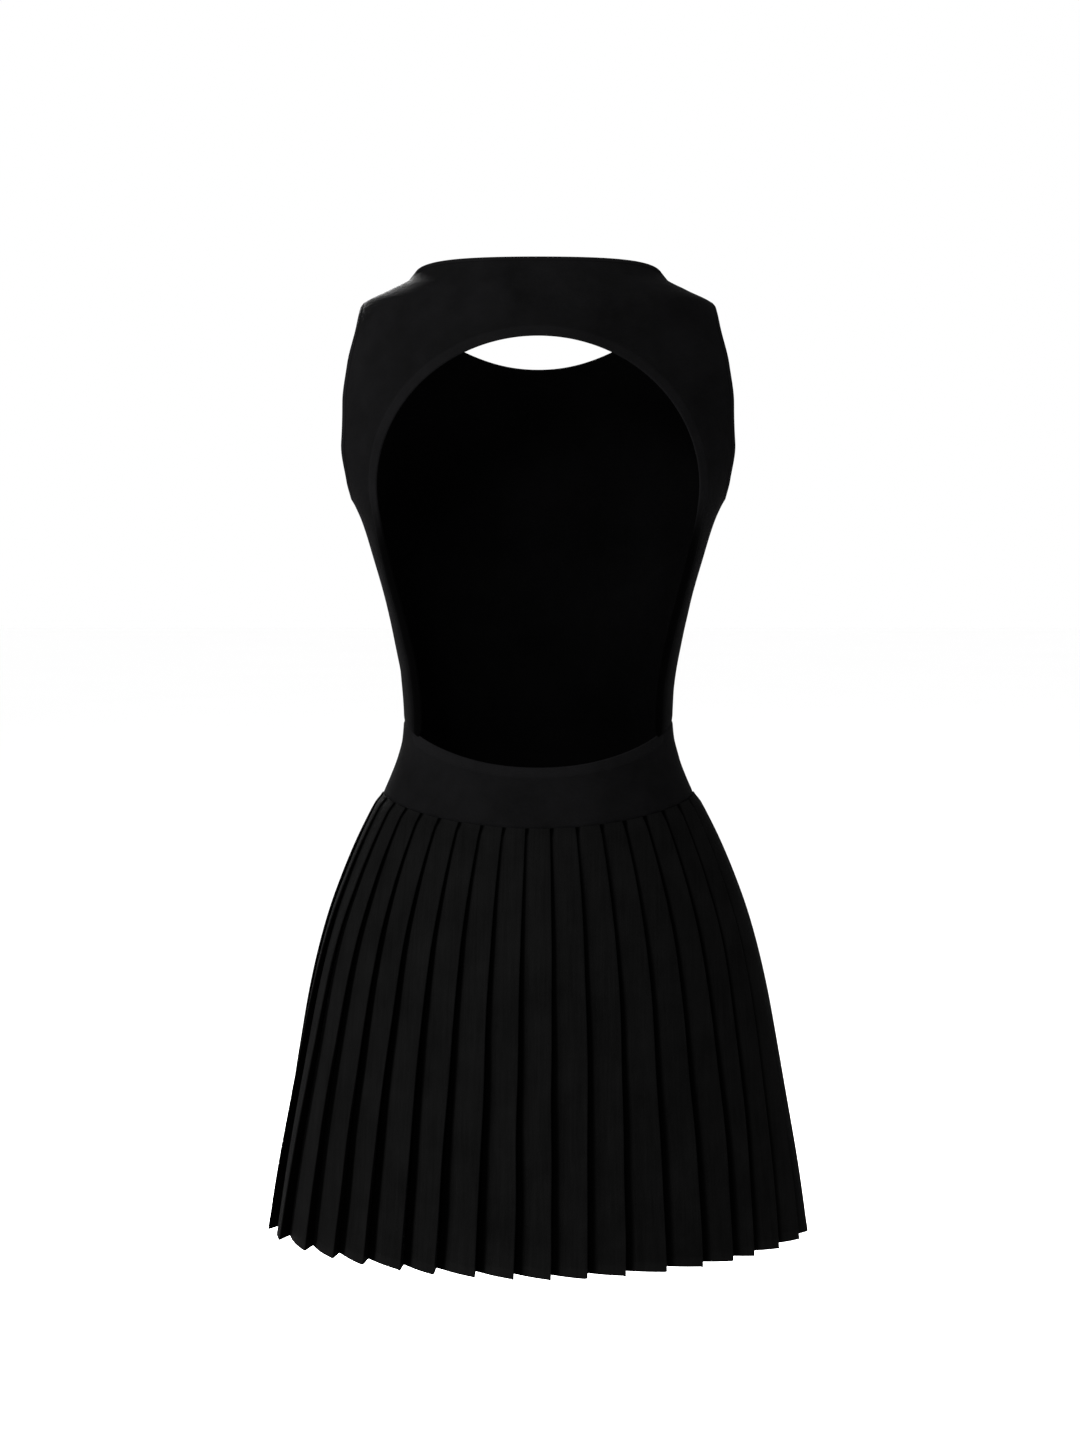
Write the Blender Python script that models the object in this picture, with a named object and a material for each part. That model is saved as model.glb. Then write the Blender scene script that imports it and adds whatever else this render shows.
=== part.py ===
"""Sleeveless tennis dress with an open back and a knife-pleated skirt.

The dress has its worn, hollow form on a general figure. Metres, +Z up. The wearer's back
faces -Y, and the origin lies midway between the shoulder seams, at shoulder height. Every
piece of cloth has an outer and an inner face, two grids laid on surfaces that are worked
out from the sizes below, in millimetres, and joined all round the rim.
"""

import math
from collections import namedtuple

import bmesh
import bpy
from mathutils import Vector

COLLECTION_NAME = "tennis_dress"
MM = 0.001

# Cloth
BODICE_THICKNESS = 1.8
SKIRT_THICKNESS = 1.1
SEAM_GAP = 0.3
HALF_GAP = SEAM_GAP / 2.0

# Sections of the worn cloth, as half widths and depths from the shoulder line.
# squareness 2 is an ellipse, and more is boxier.
Section = namedtuple("Section", "level half_width back front squareness")

# level is the height over the shoulder line
BODICE = (
    Section(24.0, 98.0, 56.0, 16.0, 2.1),
    Section(14.0, 98.5, 61.0, 26.0, 2.1),
    Section(9.5, 101.5, 64.0, 31.0, 2.1),
    Section(0.0, 119.0, 70.0, 40.0, 2.1),
    Section(-10.0, 138.5, 75.0, 47.0, 2.1),
    Section(-18.0, 143.5, 79.0, 52.0, 2.1),
    Section(-30.0, 149.0, 83.0, 58.0, 2.1),
    Section(-60.0, 161.0, 91.0, 72.0, 2.1),
    Section(-90.0, 166.0, 96.0, 85.0, 2.1),
    Section(-120.0, 165.5, 98.0, 96.0, 2.1),
    Section(-150.0, 156.0, 97.0, 105.0, 2.1),
    Section(-164.0, 148.5, 96.0, 108.0, 2.1),
    Section(-180.0, 141.0, 95.0, 111.0, 2.1),
    Section(-212.0, 131.0, 91.0, 114.0, 2.1),
    Section(-244.0, 122.0, 86.0, 111.0, 2.1),
    Section(-276.0, 115.0, 81.0, 104.0, 2.1),
    Section(-308.0, 109.5, 77.0, 96.0, 2.1),
    Section(-340.0, 107.5, 76.0, 90.0, 2.1),
    Section(-375.0, 114.0, 79.0, 91.0, 2.1),
)

# level is the share of the height, from the waistband's top edge to the pleats' seam
WAISTBAND = (
    Section(0.0, 107.5, 76.0, 90.0, 2.1),
    Section(0.25, 108.8, 77.5, 90.5, 2.1),
    Section(0.5, 112.5, 80.0, 91.5, 2.07),
    Section(0.75, 118.0, 83.5, 93.0, 2.03),
    Section(1.0, 124.3, 88.0, 95.0, 2.0),
)

# level is the share of the height, from the pleats' seam to the hem; sizes to the ridges
SKIRT = (
    Section(0.0, 127.0, 91.0, 98.0, 2.0),
    Section(0.04, 134.5, 95.5, 100.5, 2.0),
    Section(0.1, 145.0, 102.5, 104.0, 2.0),
    Section(0.18, 157.0, 111.0, 108.5, 2.0),
    Section(0.27, 168.5, 118.5, 113.0, 2.0),
    Section(0.36, 177.5, 123.5, 117.0, 1.98),
    Section(0.46, 185.5, 127.5, 121.5, 1.95),
    Section(0.55, 191.5, 131.0, 126.0, 1.93),
    Section(0.69, 200.5, 137.5, 133.0, 1.9),
    Section(0.87, 212.0, 146.5, 143.0, 1.8),
    Section(1.0, 219.0, 153.0, 150.0, 1.74),
)

# Neckline
NECK_POINT_HEIGHT = 9.5
BACK_NECK_RISE = 11.0
BACK_NECK_POWER = 3.6
FRONT_NECK_DROP = 66.0
FRONT_NECK_POWER = 1.45

# Armholes
SHOULDER_END_HEIGHT = -11.0
UNDERARM_HEIGHT = -164.0
ARMHOLE_BACK_ANGLE = 24.0
ARMHOLE_FRONT_ANGLE = 32.0
ARMHOLE_POWER = 2.3

# Open back: an arch over two sides that draw in to the waist
ARCH_TOP = -41.0
ARCH_FOOT = -158.0
ARCH_HALF_WIDTH = 126.0
WAIST_HALF_WIDTH = 94.5
DRAW_IN_POWER = 0.97

# Front fullness from the darts
CUP_FULLNESS = 10.0
CUP_SPACING = 72.0
CUP_HEIGHT = -208.0
CUP_WIDTH = 36.0
CUP_LENGTH = 42.0
CUP_FADE_POWER = 6.0

# Waistband and hem; the back dips at its centre
BAND_TOP = -340.0
BAND_TOP_DIP = 33.0
BAND_TOP_POWER = 1.6
PLEAT_SEAM = -398.0
PLEAT_SEAM_DIP = 20.0
PLEAT_SEAM_POWER = 1.6
HEM = -751.0

# Knife pleats
PLEATS = 38
PLEAT_RETURN = 12.9
FOLD_WIDTH = 1.65
LEAST_OPENING = 4.0
LAYER_EASE = 0.65
EASED_OPENING = 10.0
WIDEST_OPENING = 170.0
FACE_TURN = 13.6

# The back's folds: distances from the centre back, positive to +X
Fold = namedtuple("Fold", "ridge seam hem")
BACK_FOLDS = (
    Fold(-9, -150.0, -280.0),
    Fold(-8, -133.5, -244.0),
    Fold(-7, -117.0, -206.0),
    Fold(-6, -100.0, -173.0),
    Fold(-5, -82.5, -143.0),
    Fold(-4, -64.5, -110.5),
    Fold(-3, -46.0, -81.5),
    Fold(-2, -28.5, -49.0),
    Fold(-1, -10.5, -19.5),
    Fold(0, 8.5, 8.0),
    Fold(1, 28.5, 37.0),
    Fold(2, 48.0, 67.0),
    Fold(3, 67.0, 99.5),
    Fold(4, 85.5, 132.0),
    Fold(5, 104.0, 162.0),
    Fold(6, 123.0, 184.5),
    Fold(7, 142.0, 214.5),
    Fold(8, 160.5, 247.0),
    Fold(9, 178.5, 273.0),
)

# Fineness of the grids
STRIP_STEPS = 7
ARMHOLE_STEPS = 12
SHOULDER_STEPS = 4
NECKLINE_STEPS = 8
YOKE_ROWS = 8
ROW_EASE = 1.2
HEIGHT_EASE = 1.6
EDGE_EASE = 14.0
EASED_REACH = 0.2
FRONT_COLUMNS = 13
BAND_COLUMNS = 36
BAND_ROWS = 3
SKIRT_ROWS = (0.0, 0.03, 0.08, 0.16, 0.28, 0.45, 0.7, 1.0)
RING_SAMPLES = 1440
NUDGE = 0.05
HALVINGS = 30
FOLD_ROUNDS = 8
SHARP_ANGLE = math.radians(40.0)

# Looks of the cloth
KNIT_COLOUR = (0.008, 0.008, 0.0085, 1.0)
KNIT_ROUGHNESS = 0.75
PLEAT_COLOUR = (0.006, 0.006, 0.0065, 1.0)
PLEAT_ROUGHNESS = 0.7


# ---------------------------------------------------------------------------
# Curves and sections
# ---------------------------------------------------------------------------

def between(start, end, share):
    return start + (end - start) * share


def tangent(rows, index, column):
    """Slope of a column at a row, level where the column turns."""
    if index in (0, len(rows) - 1):
        first = min(index, len(rows) - 2)
        run = rows[first + 1].level - rows[first].level
        return (getattr(rows[first + 1], column) - getattr(rows[first], column)) / run
    before, here, after = rows[index - 1], rows[index], rows[index + 1]
    low_run, high_run = here.level - before.level, after.level - here.level
    low = (getattr(here, column) - getattr(before, column)) / low_run
    high = (getattr(after, column) - getattr(here, column)) / high_run
    if low * high <= 0.0:
        return 0.0
    weight_low, weight_high = 2 * high_run + low_run, high_run + 2 * low_run
    return (weight_low + weight_high) / (weight_low / low + weight_high / high)


def column_at(rows, column, level):
    """Value of a column at a level, on a smooth curve through the rows."""
    index = 0
    upwards = rows[-1].level > rows[0].level
    while index < len(rows) - 2 and (rows[index + 1].level < level) == upwards:
        index += 1
    low, high = rows[index], rows[index + 1]
    run = high.level - low.level
    share = min(max((level - low.level) / run, 0.0), 1.0)
    rest = 1.0 - share
    start, end = getattr(low, column), getattr(high, column)
    start_slope = tangent(rows, index, column) * run
    end_slope = tangent(rows, index + 1, column) * run
    return (
        start * rest * rest * (1.0 + 2.0 * share)
        + start_slope * share * rest * rest
        + end * share * share * (3.0 - 2.0 * share)
        - end_slope * share * share * rest
    )


def section_at(rows, level):
    values = [column_at(rows, column, level) for column in Section._fields[1:]]
    return Section(level, *values)


def plan_point(section, angle):
    """Point of a section in plan; the angle runs from +X towards the front."""
    power = 2.0 / section.squareness
    cosine, sine = math.cos(angle), math.sin(angle)
    depth = section.front if sine > 0.0 else section.back
    x = math.copysign(section.half_width * abs(cosine) ** power, cosine)
    y = math.copysign(depth * abs(sine) ** power, sine)
    return x, y


def angle_of_width(section, half_width):
    """Angle from the side at which a section is half_width wide."""
    share = min(half_width / section.half_width, 1.0)
    return math.acos(share ** (section.squareness / 2.0))


def solved(measure, wanted, low, high):
    """Value at which a growing measure comes to the wanted one."""
    for _ in range(HALVINGS):
        middle = (low + high) / 2.0
        if measure(middle) < wanted:
            low = middle
        else:
            high = middle
    return low


# ---------------------------------------------------------------------------
# Bodice: places are given by how far they lie from the side edge to the centre
# line (reach, 0 to 1) and by their height
# ---------------------------------------------------------------------------

def armhole_angle(height, widest):
    """Angle from the side to the armhole's edge, zero above and below the armhole."""
    middle = (SHOULDER_END_HEIGHT + UNDERARM_HEIGHT) / 2.0
    half_height = (SHOULDER_END_HEIGHT - UNDERARM_HEIGHT) / 2.0
    rise = abs(height - middle) / half_height
    if rise >= 1.0:
        return 0.0
    return math.radians(widest) * (1.0 - rise ** ARMHOLE_POWER) ** (1.0 / ARMHOLE_POWER)


def edge_angle(height, front):
    """Angle from the side to the piece's edge: side seam, armhole or shoulder seam."""
    section = section_at(BODICE, height)
    widest = ARMHOLE_FRONT_ANGLE if front else ARMHOLE_BACK_ANGLE
    depth = section.front if front else section.back
    seam_angle = math.asin((HALF_GAP / depth) ** (section.squareness / 2.0))
    return max(armhole_angle(height, widest), seam_angle)


def angle_of_reach(reach, height, front):
    """Angle of a place; the edge's corners fade out in the columns further in."""
    window = EDGE_EASE * min(reach / EASED_REACH, 1.0)
    shifts = (-window, -window / 2.0, 0.0, window / 2.0, window)
    edge = sum(edge_angle(height + shift, front) for shift in shifts) / len(shifts)
    return between(edge, math.pi / 2.0, reach)


def cup_fullness(x, height, half_width):
    """How far the darts let the front stand out; nothing at the side seam."""
    across = (abs(x) - CUP_SPACING) / CUP_WIDTH
    along = (height - CUP_HEIGHT) / CUP_LENGTH
    fade = 1.0 - min(abs(x) / half_width, 1.0) ** CUP_FADE_POWER
    return CUP_FULLNESS * fade * math.exp(-0.5 * (across * across + along * along))


def bodice_size(x, y, height, front):
    """1 on the bodice's outer face, more outside it and less inside it."""
    section = section_at(BODICE, height)
    depth = section.front if front else section.back
    if front:
        y -= cup_fullness(x, height, section.half_width)
    power = section.squareness
    return (abs(x) / section.half_width) ** power + (abs(y) / depth) ** power


def bodice_wall(side, reach, height, front, at_waist):
    """Matching points of the outer and the inner face; side is +1 or -1 for +X or -X.

    The inner one lies along the normal, but within the plane of a seam at a seam.
    """
    angle = angle_of_reach(reach, height, front)
    section = section_at(BODICE, height)
    x, y = plan_point(section, angle if front else -angle)
    if front:
        y += cup_fullness(x, height, section.half_width)
    nudges = (-NUDGE, NUDGE)
    across = [bodice_size(x + nudge, y, height, front) for nudge in nudges]
    deep = [bodice_size(x, y + nudge, height, front) for nudge in nudges]
    upright = [bodice_size(x, y, height + nudge, front) for nudge in nudges]
    normal = Vector([far - near for near, far in (across, deep, upright)])
    if reach == 0.0 and not UNDERARM_HEIGHT < height < SHOULDER_END_HEIGHT:
        normal.y = 0.0
    if at_waist:
        normal.z = 0.0
    inner = Vector((x, y, height)) - normal.normalized() * BODICE_THICKNESS
    return (side * x, y, height), (side * inner.x, inner.y, inner.z)


def back_neckline(reach):
    return NECK_POINT_HEIGHT + BACK_NECK_RISE * (1.0 - (1.0 - reach) ** BACK_NECK_POWER)


def front_neckline(reach):
    scoop = math.sin(math.pi / 2.0 * reach) ** FRONT_NECK_POWER
    return NECK_POINT_HEIGHT - FRONT_NECK_DROP * scoop


def open_back_half_width(height):
    """Half width of the open back below its arch."""
    drop = (ARCH_FOOT - height) / (ARCH_FOOT - BAND_TOP)
    draw_in = (1.0 + math.cos(math.pi * min(max(drop, 0.0), 1.0) ** DRAW_IN_POWER)) / 2.0
    return between(WAIST_HALF_WIDTH, ARCH_HALF_WIDTH, draw_in)


def reach_of_width(half_width, height):
    """Reach at which the back is half_width wide."""
    wanted = angle_of_width(section_at(BODICE, height), half_width)
    return solved(lambda reach: angle_of_reach(reach, height, False), wanted, 0.0, 1.0)


def band_top(angle):
    """Height of the waistband's top edge; it dips at the centre back."""
    dip = max(-math.sin(angle), 0.0) ** BAND_TOP_POWER
    return BAND_TOP - BAND_TOP_DIP * dip


def pleat_seam(angle):
    dip = max(-math.sin(angle), 0.0) ** PLEAT_SEAM_POWER
    return PLEAT_SEAM - PLEAT_SEAM_DIP * dip


def steps(count, start, end):
    return [between(start, end, index / count) for index in range(count)]


def eased_steps(count, start, end):
    """Steps that are closer together at both ends."""
    return [between(start, end, (1.0 - math.cos(math.pi * index / count)) / 2.0)
            for index in range(count)]


def foot_height(reach):
    """Height at which the back bodice meets the waistband."""
    return band_top(-reach * math.pi / 2.0) + HALF_GAP


def back_half_edges():
    """Matching places on the outer edge and on the open back's edge, waist to centre."""
    arch_height = ARCH_TOP - ARCH_FOOT
    foot = foot_height(reach_of_width(WAIST_HALF_WIDTH, BAND_TOP))
    heights = (steps(STRIP_STEPS, foot_height(0.0), UNDERARM_HEIGHT)
               + eased_steps(ARMHOLE_STEPS, UNDERARM_HEIGHT, SHOULDER_END_HEIGHT)
               + steps(SHOULDER_STEPS, SHOULDER_END_HEIGHT, NECK_POINT_HEIGHT))
    outer = [(0.0, height) for height in heights]
    outer += [(reach, back_neckline(reach)) for reach in steps(NECKLINE_STEPS, 0.0, 1.0)]
    outer.append((1.0, back_neckline(1.0)))
    inner = [(reach_of_width(open_back_half_width(height), height), height)
             for height in steps(STRIP_STEPS, foot, ARCH_FOOT)]
    arch_steps = len(outer) - len(inner) - 1
    for index in range(arch_steps + 1):
        turn = math.pi / 2.0 * index / arch_steps
        height = ARCH_FOOT + arch_height * math.sin(turn)
        inner.append((reach_of_width(ARCH_HALF_WIDTH * math.cos(turn), height), height))
    return outer, inner


# ---------------------------------------------------------------------------
# Pleated skirt
# ---------------------------------------------------------------------------

class Ring:
    """A level of the skirt, read by the distance along it from the centre back."""

    def __init__(self, level):
        section = section_at(SKIRT, level)
        self.level = level
        self.angles = [-math.pi / 2.0 + 2.0 * math.pi * index / RING_SAMPLES
                       for index in range(RING_SAMPLES + 1)]
        self.points = [plan_point(section, angle) for angle in self.angles]
        self.distances = [0.0]
        for start, end in zip(self.points, self.points[1:]):
            self.distances.append(self.distances[-1] + math.dist(start, end))
        self.length = self.distances[-1]

    def place(self, distance, offset):
        """Point at a distance along the ring, moved outwards by offset."""
        wrapped = distance % self.length
        low, high = 0, RING_SAMPLES
        while high - low > 1:
            middle = (low + high) // 2
            if self.distances[middle] <= wrapped:
                low = middle
            else:
                high = middle
        run = self.distances[high] - self.distances[low]
        share = (wrapped - self.distances[low]) / run
        angle = between(self.angles[low], self.angles[high], share)
        start, end = self.points[low], self.points[high]
        along = ((end[0] - start[0]) / run, (end[1] - start[1]) / run)
        x = between(start[0], end[0], share) + offset * along[1]
        y = between(start[1], end[1], share) - offset * along[0]
        top = pleat_seam(angle) - HALF_GAP
        return x, y, between(top, HEM, self.level)


def pleat_turns(opening, face):
    """Slope of a pleat's face and of its folds, for the opening of its return."""
    back_turn = opening - math.pi
    slope = 0.0
    for _ in range(FOLD_ROUNDS):
        fold = (slope + back_turn) / 2.0
        rise = PLEAT_RETURN * math.sin(opening) - 2.0 * FOLD_WIDTH * math.sin(fold)
        slope = math.asin(rise / face)
    return slope, fold


def pleat_pitch(opening, face):
    slope, fold = pleat_turns(opening, face)
    face_run = face * math.cos(slope)
    return face_run - PLEAT_RETURN * math.cos(opening) + 2.0 * FOLD_WIDTH * math.cos(fold)


def pleat_profile(seam_pitch, pitch):
    """One pleat as (distance, offset) from its ridge to just before the next ridge.

    Its face is as long as the closed pleat needs at the seam, and its return opens to
    fill the pitch further down.
    """
    closed_turn, open_turn = math.radians(LEAST_OPENING), math.radians(WIDEST_OPENING)
    face = solved(lambda length: pleat_pitch(closed_turn, length), seam_pitch,
                  seam_pitch, seam_pitch + 2.0 * PLEAT_RETURN)
    opening = solved(lambda turn: pleat_pitch(turn, face), pitch, closed_turn, open_turn)
    _, fold = pleat_turns(opening, face)
    fold_step = (FOLD_WIDTH * math.cos(fold), FOLD_WIDTH * math.sin(fold))
    under = (fold_step[0] - PLEAT_RETURN * math.cos(opening),
             fold_step[1] - PLEAT_RETURN * math.sin(opening))
    valley = (under[0] + fold_step[0], under[1] + fold_step[1])
    closed = 1.0 - (math.degrees(opening) - LEAST_OPENING) / (EASED_OPENING - LEAST_OPENING)
    ease = LAYER_EASE * max(closed, 0.0)
    low_face, high_face = [(between(valley[0], pitch, share), valley[1] * (1.0 - share))
                           for share in (FACE_TURN / face, 1.0 - FACE_TURN / face)]
    return {
        "ridge": (0.0, 0.0),
        "ridge_under": fold_step,
        "valley_over": under,
        "valley": valley,
        "face_low": (low_face[0], low_face[1] - ease),
        "face_high": (high_face[0], high_face[1] + ease),
    }


PROFILE_ORDER = ("valley", "face_low", "face_high", "ridge", "ridge_under", "valley_over")
BEFORE_RIDGE = ("valley", "face_low", "face_high")


def ridge_place(rings, ring, ridge):
    """Distance of a ridge along a ring; the front's ridges are evenly spaced."""
    turns, count = divmod(ridge - BACK_FOLDS[0].ridge, PLEATS)
    shares = []
    for end_ring, column in ((rings[0], "seam"), (rings[-1], "hem")):
        places = [getattr(fold, column) / end_ring.length for fold in BACK_FOLDS]
        if count < len(places):
            shares.append(places[count])
        else:
            gaps = PLEATS - len(places) + 1
            step = (1.0 + places[0] - places[-1]) / gaps
            shares.append(places[-1] + step * (count - len(places) + 1))
    return ring.length * (turns + between(shares[0], shares[1], ring.level))


def pleat_point(rings, ring, ridge, name):
    """A named point around a ridge, on the middle of the cloth."""
    before = ridge - 1 if name in BEFORE_RIDGE else ridge
    start = ridge_place(rings, ring, before)
    pitch = ridge_place(rings, ring, before + 1) - start
    seam_start = ridge_place(rings, rings[0], before)
    seam_pitch = ridge_place(rings, rings[0], before + 1) - seam_start
    along, offset = pleat_profile(seam_pitch, pitch)[name]
    return ring.place(start + along, offset)


def seam_point(rings, ring, ridge, way):
    """Where two pieces are sewn, in the hidden return behind a ridge.

    way is -1 for the piece that ends there and 1 for the one that starts there.
    """
    share = 0.5 + way * HALF_GAP / PLEAT_RETURN
    start = pleat_point(rings, ring, ridge, "ridge_under")
    end = pleat_point(rings, ring, ridge, "valley_over")
    return tuple(between(low, high, share) for low, high in zip(start, end))


def skirt_line(rings, ring, first_ridge, last_ridge):
    """Middle line of the cloth from the seam behind one ridge to that behind another."""
    before = first_ridge - 1
    line = [seam_point(rings, ring, before, 1),
            pleat_point(rings, ring, before, "valley_over")]
    for ridge in range(first_ridge, last_ridge + 1):
        line += [pleat_point(rings, ring, ridge, name) for name in PROFILE_ORDER]
    line[-1] = seam_point(rings, ring, last_ridge, -1)
    return line


def moved_line(line, distance):
    """The line moved outwards in plan, with its corners mitred."""
    ways = []
    for start, end in zip(line, line[1:]):
        way = Vector((end[1] - start[1], start[0] - end[0]))
        ways.append(way.normalized())
    moved = []
    for index, point in enumerate(line):
        before, after = ways[max(index - 1, 0)], ways[min(index, len(ways) - 1)]
        mitre = (before + after) / (1.0 + before.dot(after))
        moved.append((point[0] + mitre.x * distance, point[1] + mitre.y * distance, point[2]))
    return moved


# ---------------------------------------------------------------------------
# Blender objects
# ---------------------------------------------------------------------------

def clear_scene():
    for item in list(bpy.data.objects):
        bpy.data.objects.remove(item, do_unlink=True)


def cloth_material(name, colour, roughness):
    material = bpy.data.materials.new(name)
    material.use_nodes = True
    shader = material.node_tree.nodes["Principled BSDF"]
    shader.inputs["Base Color"].default_value = colour
    shader.inputs["Roughness"].default_value = roughness
    shader.inputs["Metallic"].default_value = 0.0
    material.diffuse_color = colour
    return material


def add_face(sheet, rows, turned_columns):
    """A grid through rows of points, each row from left to right seen from outside.

    Its squares are split along one diagonal, and in the turned columns along the other,
    so that layers that lie close together keep their distance between the rows.
    """
    row_length = len(rows[0])
    grid = bmesh.ops.create_grid(sheet, x_segments=row_length - 1, y_segments=len(rows) - 1)
    vertices = grid["verts"]
    for index, vertex in enumerate(vertices):
        point = rows[index // row_length][index % row_length]
        vertex.co = [value * MM for value in point]
    columns = {vertex: index % row_length for index, vertex in enumerate(vertices)}
    squares = {face for vertex in vertices for face in vertex.link_faces}
    for method, turned in (("FIXED", True), ("ALTERNATE", False)):
        faces = [face for face in squares
                 if (min(columns[corner] for corner in face.verts) in turned_columns) == turned]
        bmesh.ops.triangulate(sheet, faces=faces, quad_method=method)
    return vertices


def rim_order(row_count, row_length):
    """Numbers of a grid's points round its rim."""
    low = list(range(row_length))
    right = [row * row_length - 1 for row in range(2, row_count)]
    high = [row_count * row_length - 1 - column for column in range(row_length)]
    left = [row * row_length for row in range(row_count - 2, 0, -1)]
    return low + right + high + left


def cloth_piece(name, outer_rows, inner_rows, material, turned_columns=()):
    """One piece of cloth: its outer and inner face, joined all round the rim."""
    sheet = bmesh.new()
    outer = add_face(sheet, outer_rows, turned_columns)
    inner = add_face(sheet, inner_rows, turned_columns)
    inner_faces = {face for vertex in inner for face in vertex.link_faces}
    bmesh.ops.reverse_faces(sheet, faces=list(inner_faces))
    rim = rim_order(len(outer_rows), len(outer_rows[0]))
    for here, after in zip(rim, rim[1:] + rim[:1]):
        sheet.faces.new((outer[after], outer[here], inner[here], inner[after]))
    mesh = bpy.data.meshes.new(name)
    sheet.to_mesh(mesh)
    sheet.free()
    mesh.shade_smooth()
    mesh.set_sharp_from_angle(angle=SHARP_ANGLE)
    mesh.materials.append(material)
    piece = bpy.data.objects.new(name, mesh)
    bpy.data.collections[COLLECTION_NAME].objects.link(piece)
    return piece


def mirrored(half_row):
    """A row from the side to the centre, with its mirror image after the centre."""
    return half_row + [(-x, y, z) for x, y, z in reversed(half_row[:-1])]


def make_bodice_front(material):
    """Columns run up from the waistband to the neckline, one along each side edge."""
    low = BAND_TOP + HALF_GAP
    side_heights = (steps(STRIP_STEPS, low, UNDERARM_HEIGHT)
                    + eased_steps(ARMHOLE_STEPS, UNDERARM_HEIGHT, SHOULDER_END_HEIGHT)
                    + steps(SHOULDER_STEPS, SHOULDER_END_HEIGHT, NECK_POINT_HEIGHT)
                    + [NECK_POINT_HEIGHT])
    outer_rows, inner_rows = [], []
    for side_height in side_heights:
        share = (side_height - low) / (NECK_POINT_HEIGHT - low)
        row = []
        for column in range(FRONT_COLUMNS + 1):
            reach = column / FRONT_COLUMNS
            height = between(low, front_neckline(reach), share)
            row.append(bodice_wall(1, reach, height, True, side_height == low))
        outer_rows.append(mirrored([outer for outer, _ in row]))
        inner_rows.append(mirrored([inner for _, inner in row]))
    return cloth_piece("bodice_front", outer_rows, inner_rows, material)


def make_bodice_back(material):
    """Rows run round the open back, from one foot over the arch to the other."""
    outer_edge, inner_edge = back_half_edges()
    outer_rows, inner_rows = [], []
    for row_index in range(YOKE_ROWS + 1):
        left = (1.0 - row_index / YOKE_ROWS) ** ROW_EASE
        foot_reach = between(outer_edge[0][0], inner_edge[0][0], left)
        row = []
        for column, (end, start) in enumerate(zip(inner_edge, outer_edge)):
            reach = between(start[0], end[0], left)
            drop = left ** between(HEIGHT_EASE, 1.0, start[0])
            height = between(start[1], end[1], drop)
            if column < STRIP_STEPS:
                foot_shift = foot_height(foot_reach)
                foot_shift -= between(outer_edge[0][1], inner_edge[0][1], drop)
                height += foot_shift * (1.0 - column / STRIP_STEPS)
            row.append(bodice_wall(-1, reach, height, False, column == 0))
        outer_rows.append(mirrored([outer for outer, _ in row]))
        inner_rows.append(mirrored([inner for _, inner in row]))
    return cloth_piece("bodice_back", outer_rows, inner_rows, material)


def waistband_rows(first_angle, inset):
    """Half of the waistband, from one side seam to the other, moved inwards by inset."""
    rows = []
    for row in reversed(range(BAND_ROWS + 1)):
        level = row / BAND_ROWS
        worn = section_at(WAISTBAND, level)
        section = worn._replace(half_width=worn.half_width - inset,
                                back=worn.back - inset, front=worn.front - inset)
        points = []
        for column in range(BAND_COLUMNS + 1):
            angle = first_angle + math.pi * column / BAND_COLUMNS
            x, y = plan_point(section, angle)
            if column in (0, BAND_COLUMNS):
                y = math.copysign(HALF_GAP, first_angle)
            low, high = pleat_seam(angle) + HALF_GAP, band_top(angle) - HALF_GAP
            points.append((x, y, between(high, low, level)))
        rows.append(points)
    return rows


def make_waistband(name, first_angle, material):
    outer_rows = waistband_rows(first_angle, 0.0)
    inner_rows = waistband_rows(first_angle, BODICE_THICKNESS)
    return cloth_piece(name, outer_rows, inner_rows, material)


def make_skirt(name, rings, first_ridge, material):
    lines = [skirt_line(rings, ring, first_ridge, first_ridge + PLEATS // 2 - 1)
             for ring in reversed(rings)]
    outer_rows = [moved_line(line, SKIRT_THICKNESS / 2.0) for line in lines]
    inner_rows = [moved_line(line, -SKIRT_THICKNESS / 2.0) for line in lines]
    first_return = 2 + PROFILE_ORDER.index("ridge_under")
    returns = {0, *range(first_return, len(lines[0]), len(PROFILE_ORDER))}
    return cloth_piece(name, outer_rows, inner_rows, material, returns)


def main():
    clear_scene()
    collection = bpy.data.collections.new(COLLECTION_NAME)
    bpy.context.scene.collection.children.link(collection)
    knit = cloth_material("bodice_knit", KNIT_COLOUR, KNIT_ROUGHNESS)
    pleated = cloth_material("pleated_cloth", PLEAT_COLOUR, PLEAT_ROUGHNESS)
    make_bodice_front(knit)
    make_bodice_back(knit)
    make_waistband("waistband_front", 0.0, knit)
    make_waistband("waistband_back", -math.pi, knit)
    rings = [Ring(level) for level in SKIRT_ROWS]
    make_skirt("skirt_back", rings, BACK_FOLDS[0].ridge, pleated)
    make_skirt("skirt_front", rings, BACK_FOLDS[-1].ridge + 1, pleated)


main()
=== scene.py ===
"""The tennis dress as it is seen.

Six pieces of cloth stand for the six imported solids, on the same surfaces, but thinner and
finer: turned edges, seams, creases, rounded folds and weaves. Tables and shapes are in
millimetres and the meshes in metres. +Z is up and the open back faces -Y.
"""

import math
from collections import namedtuple

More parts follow.
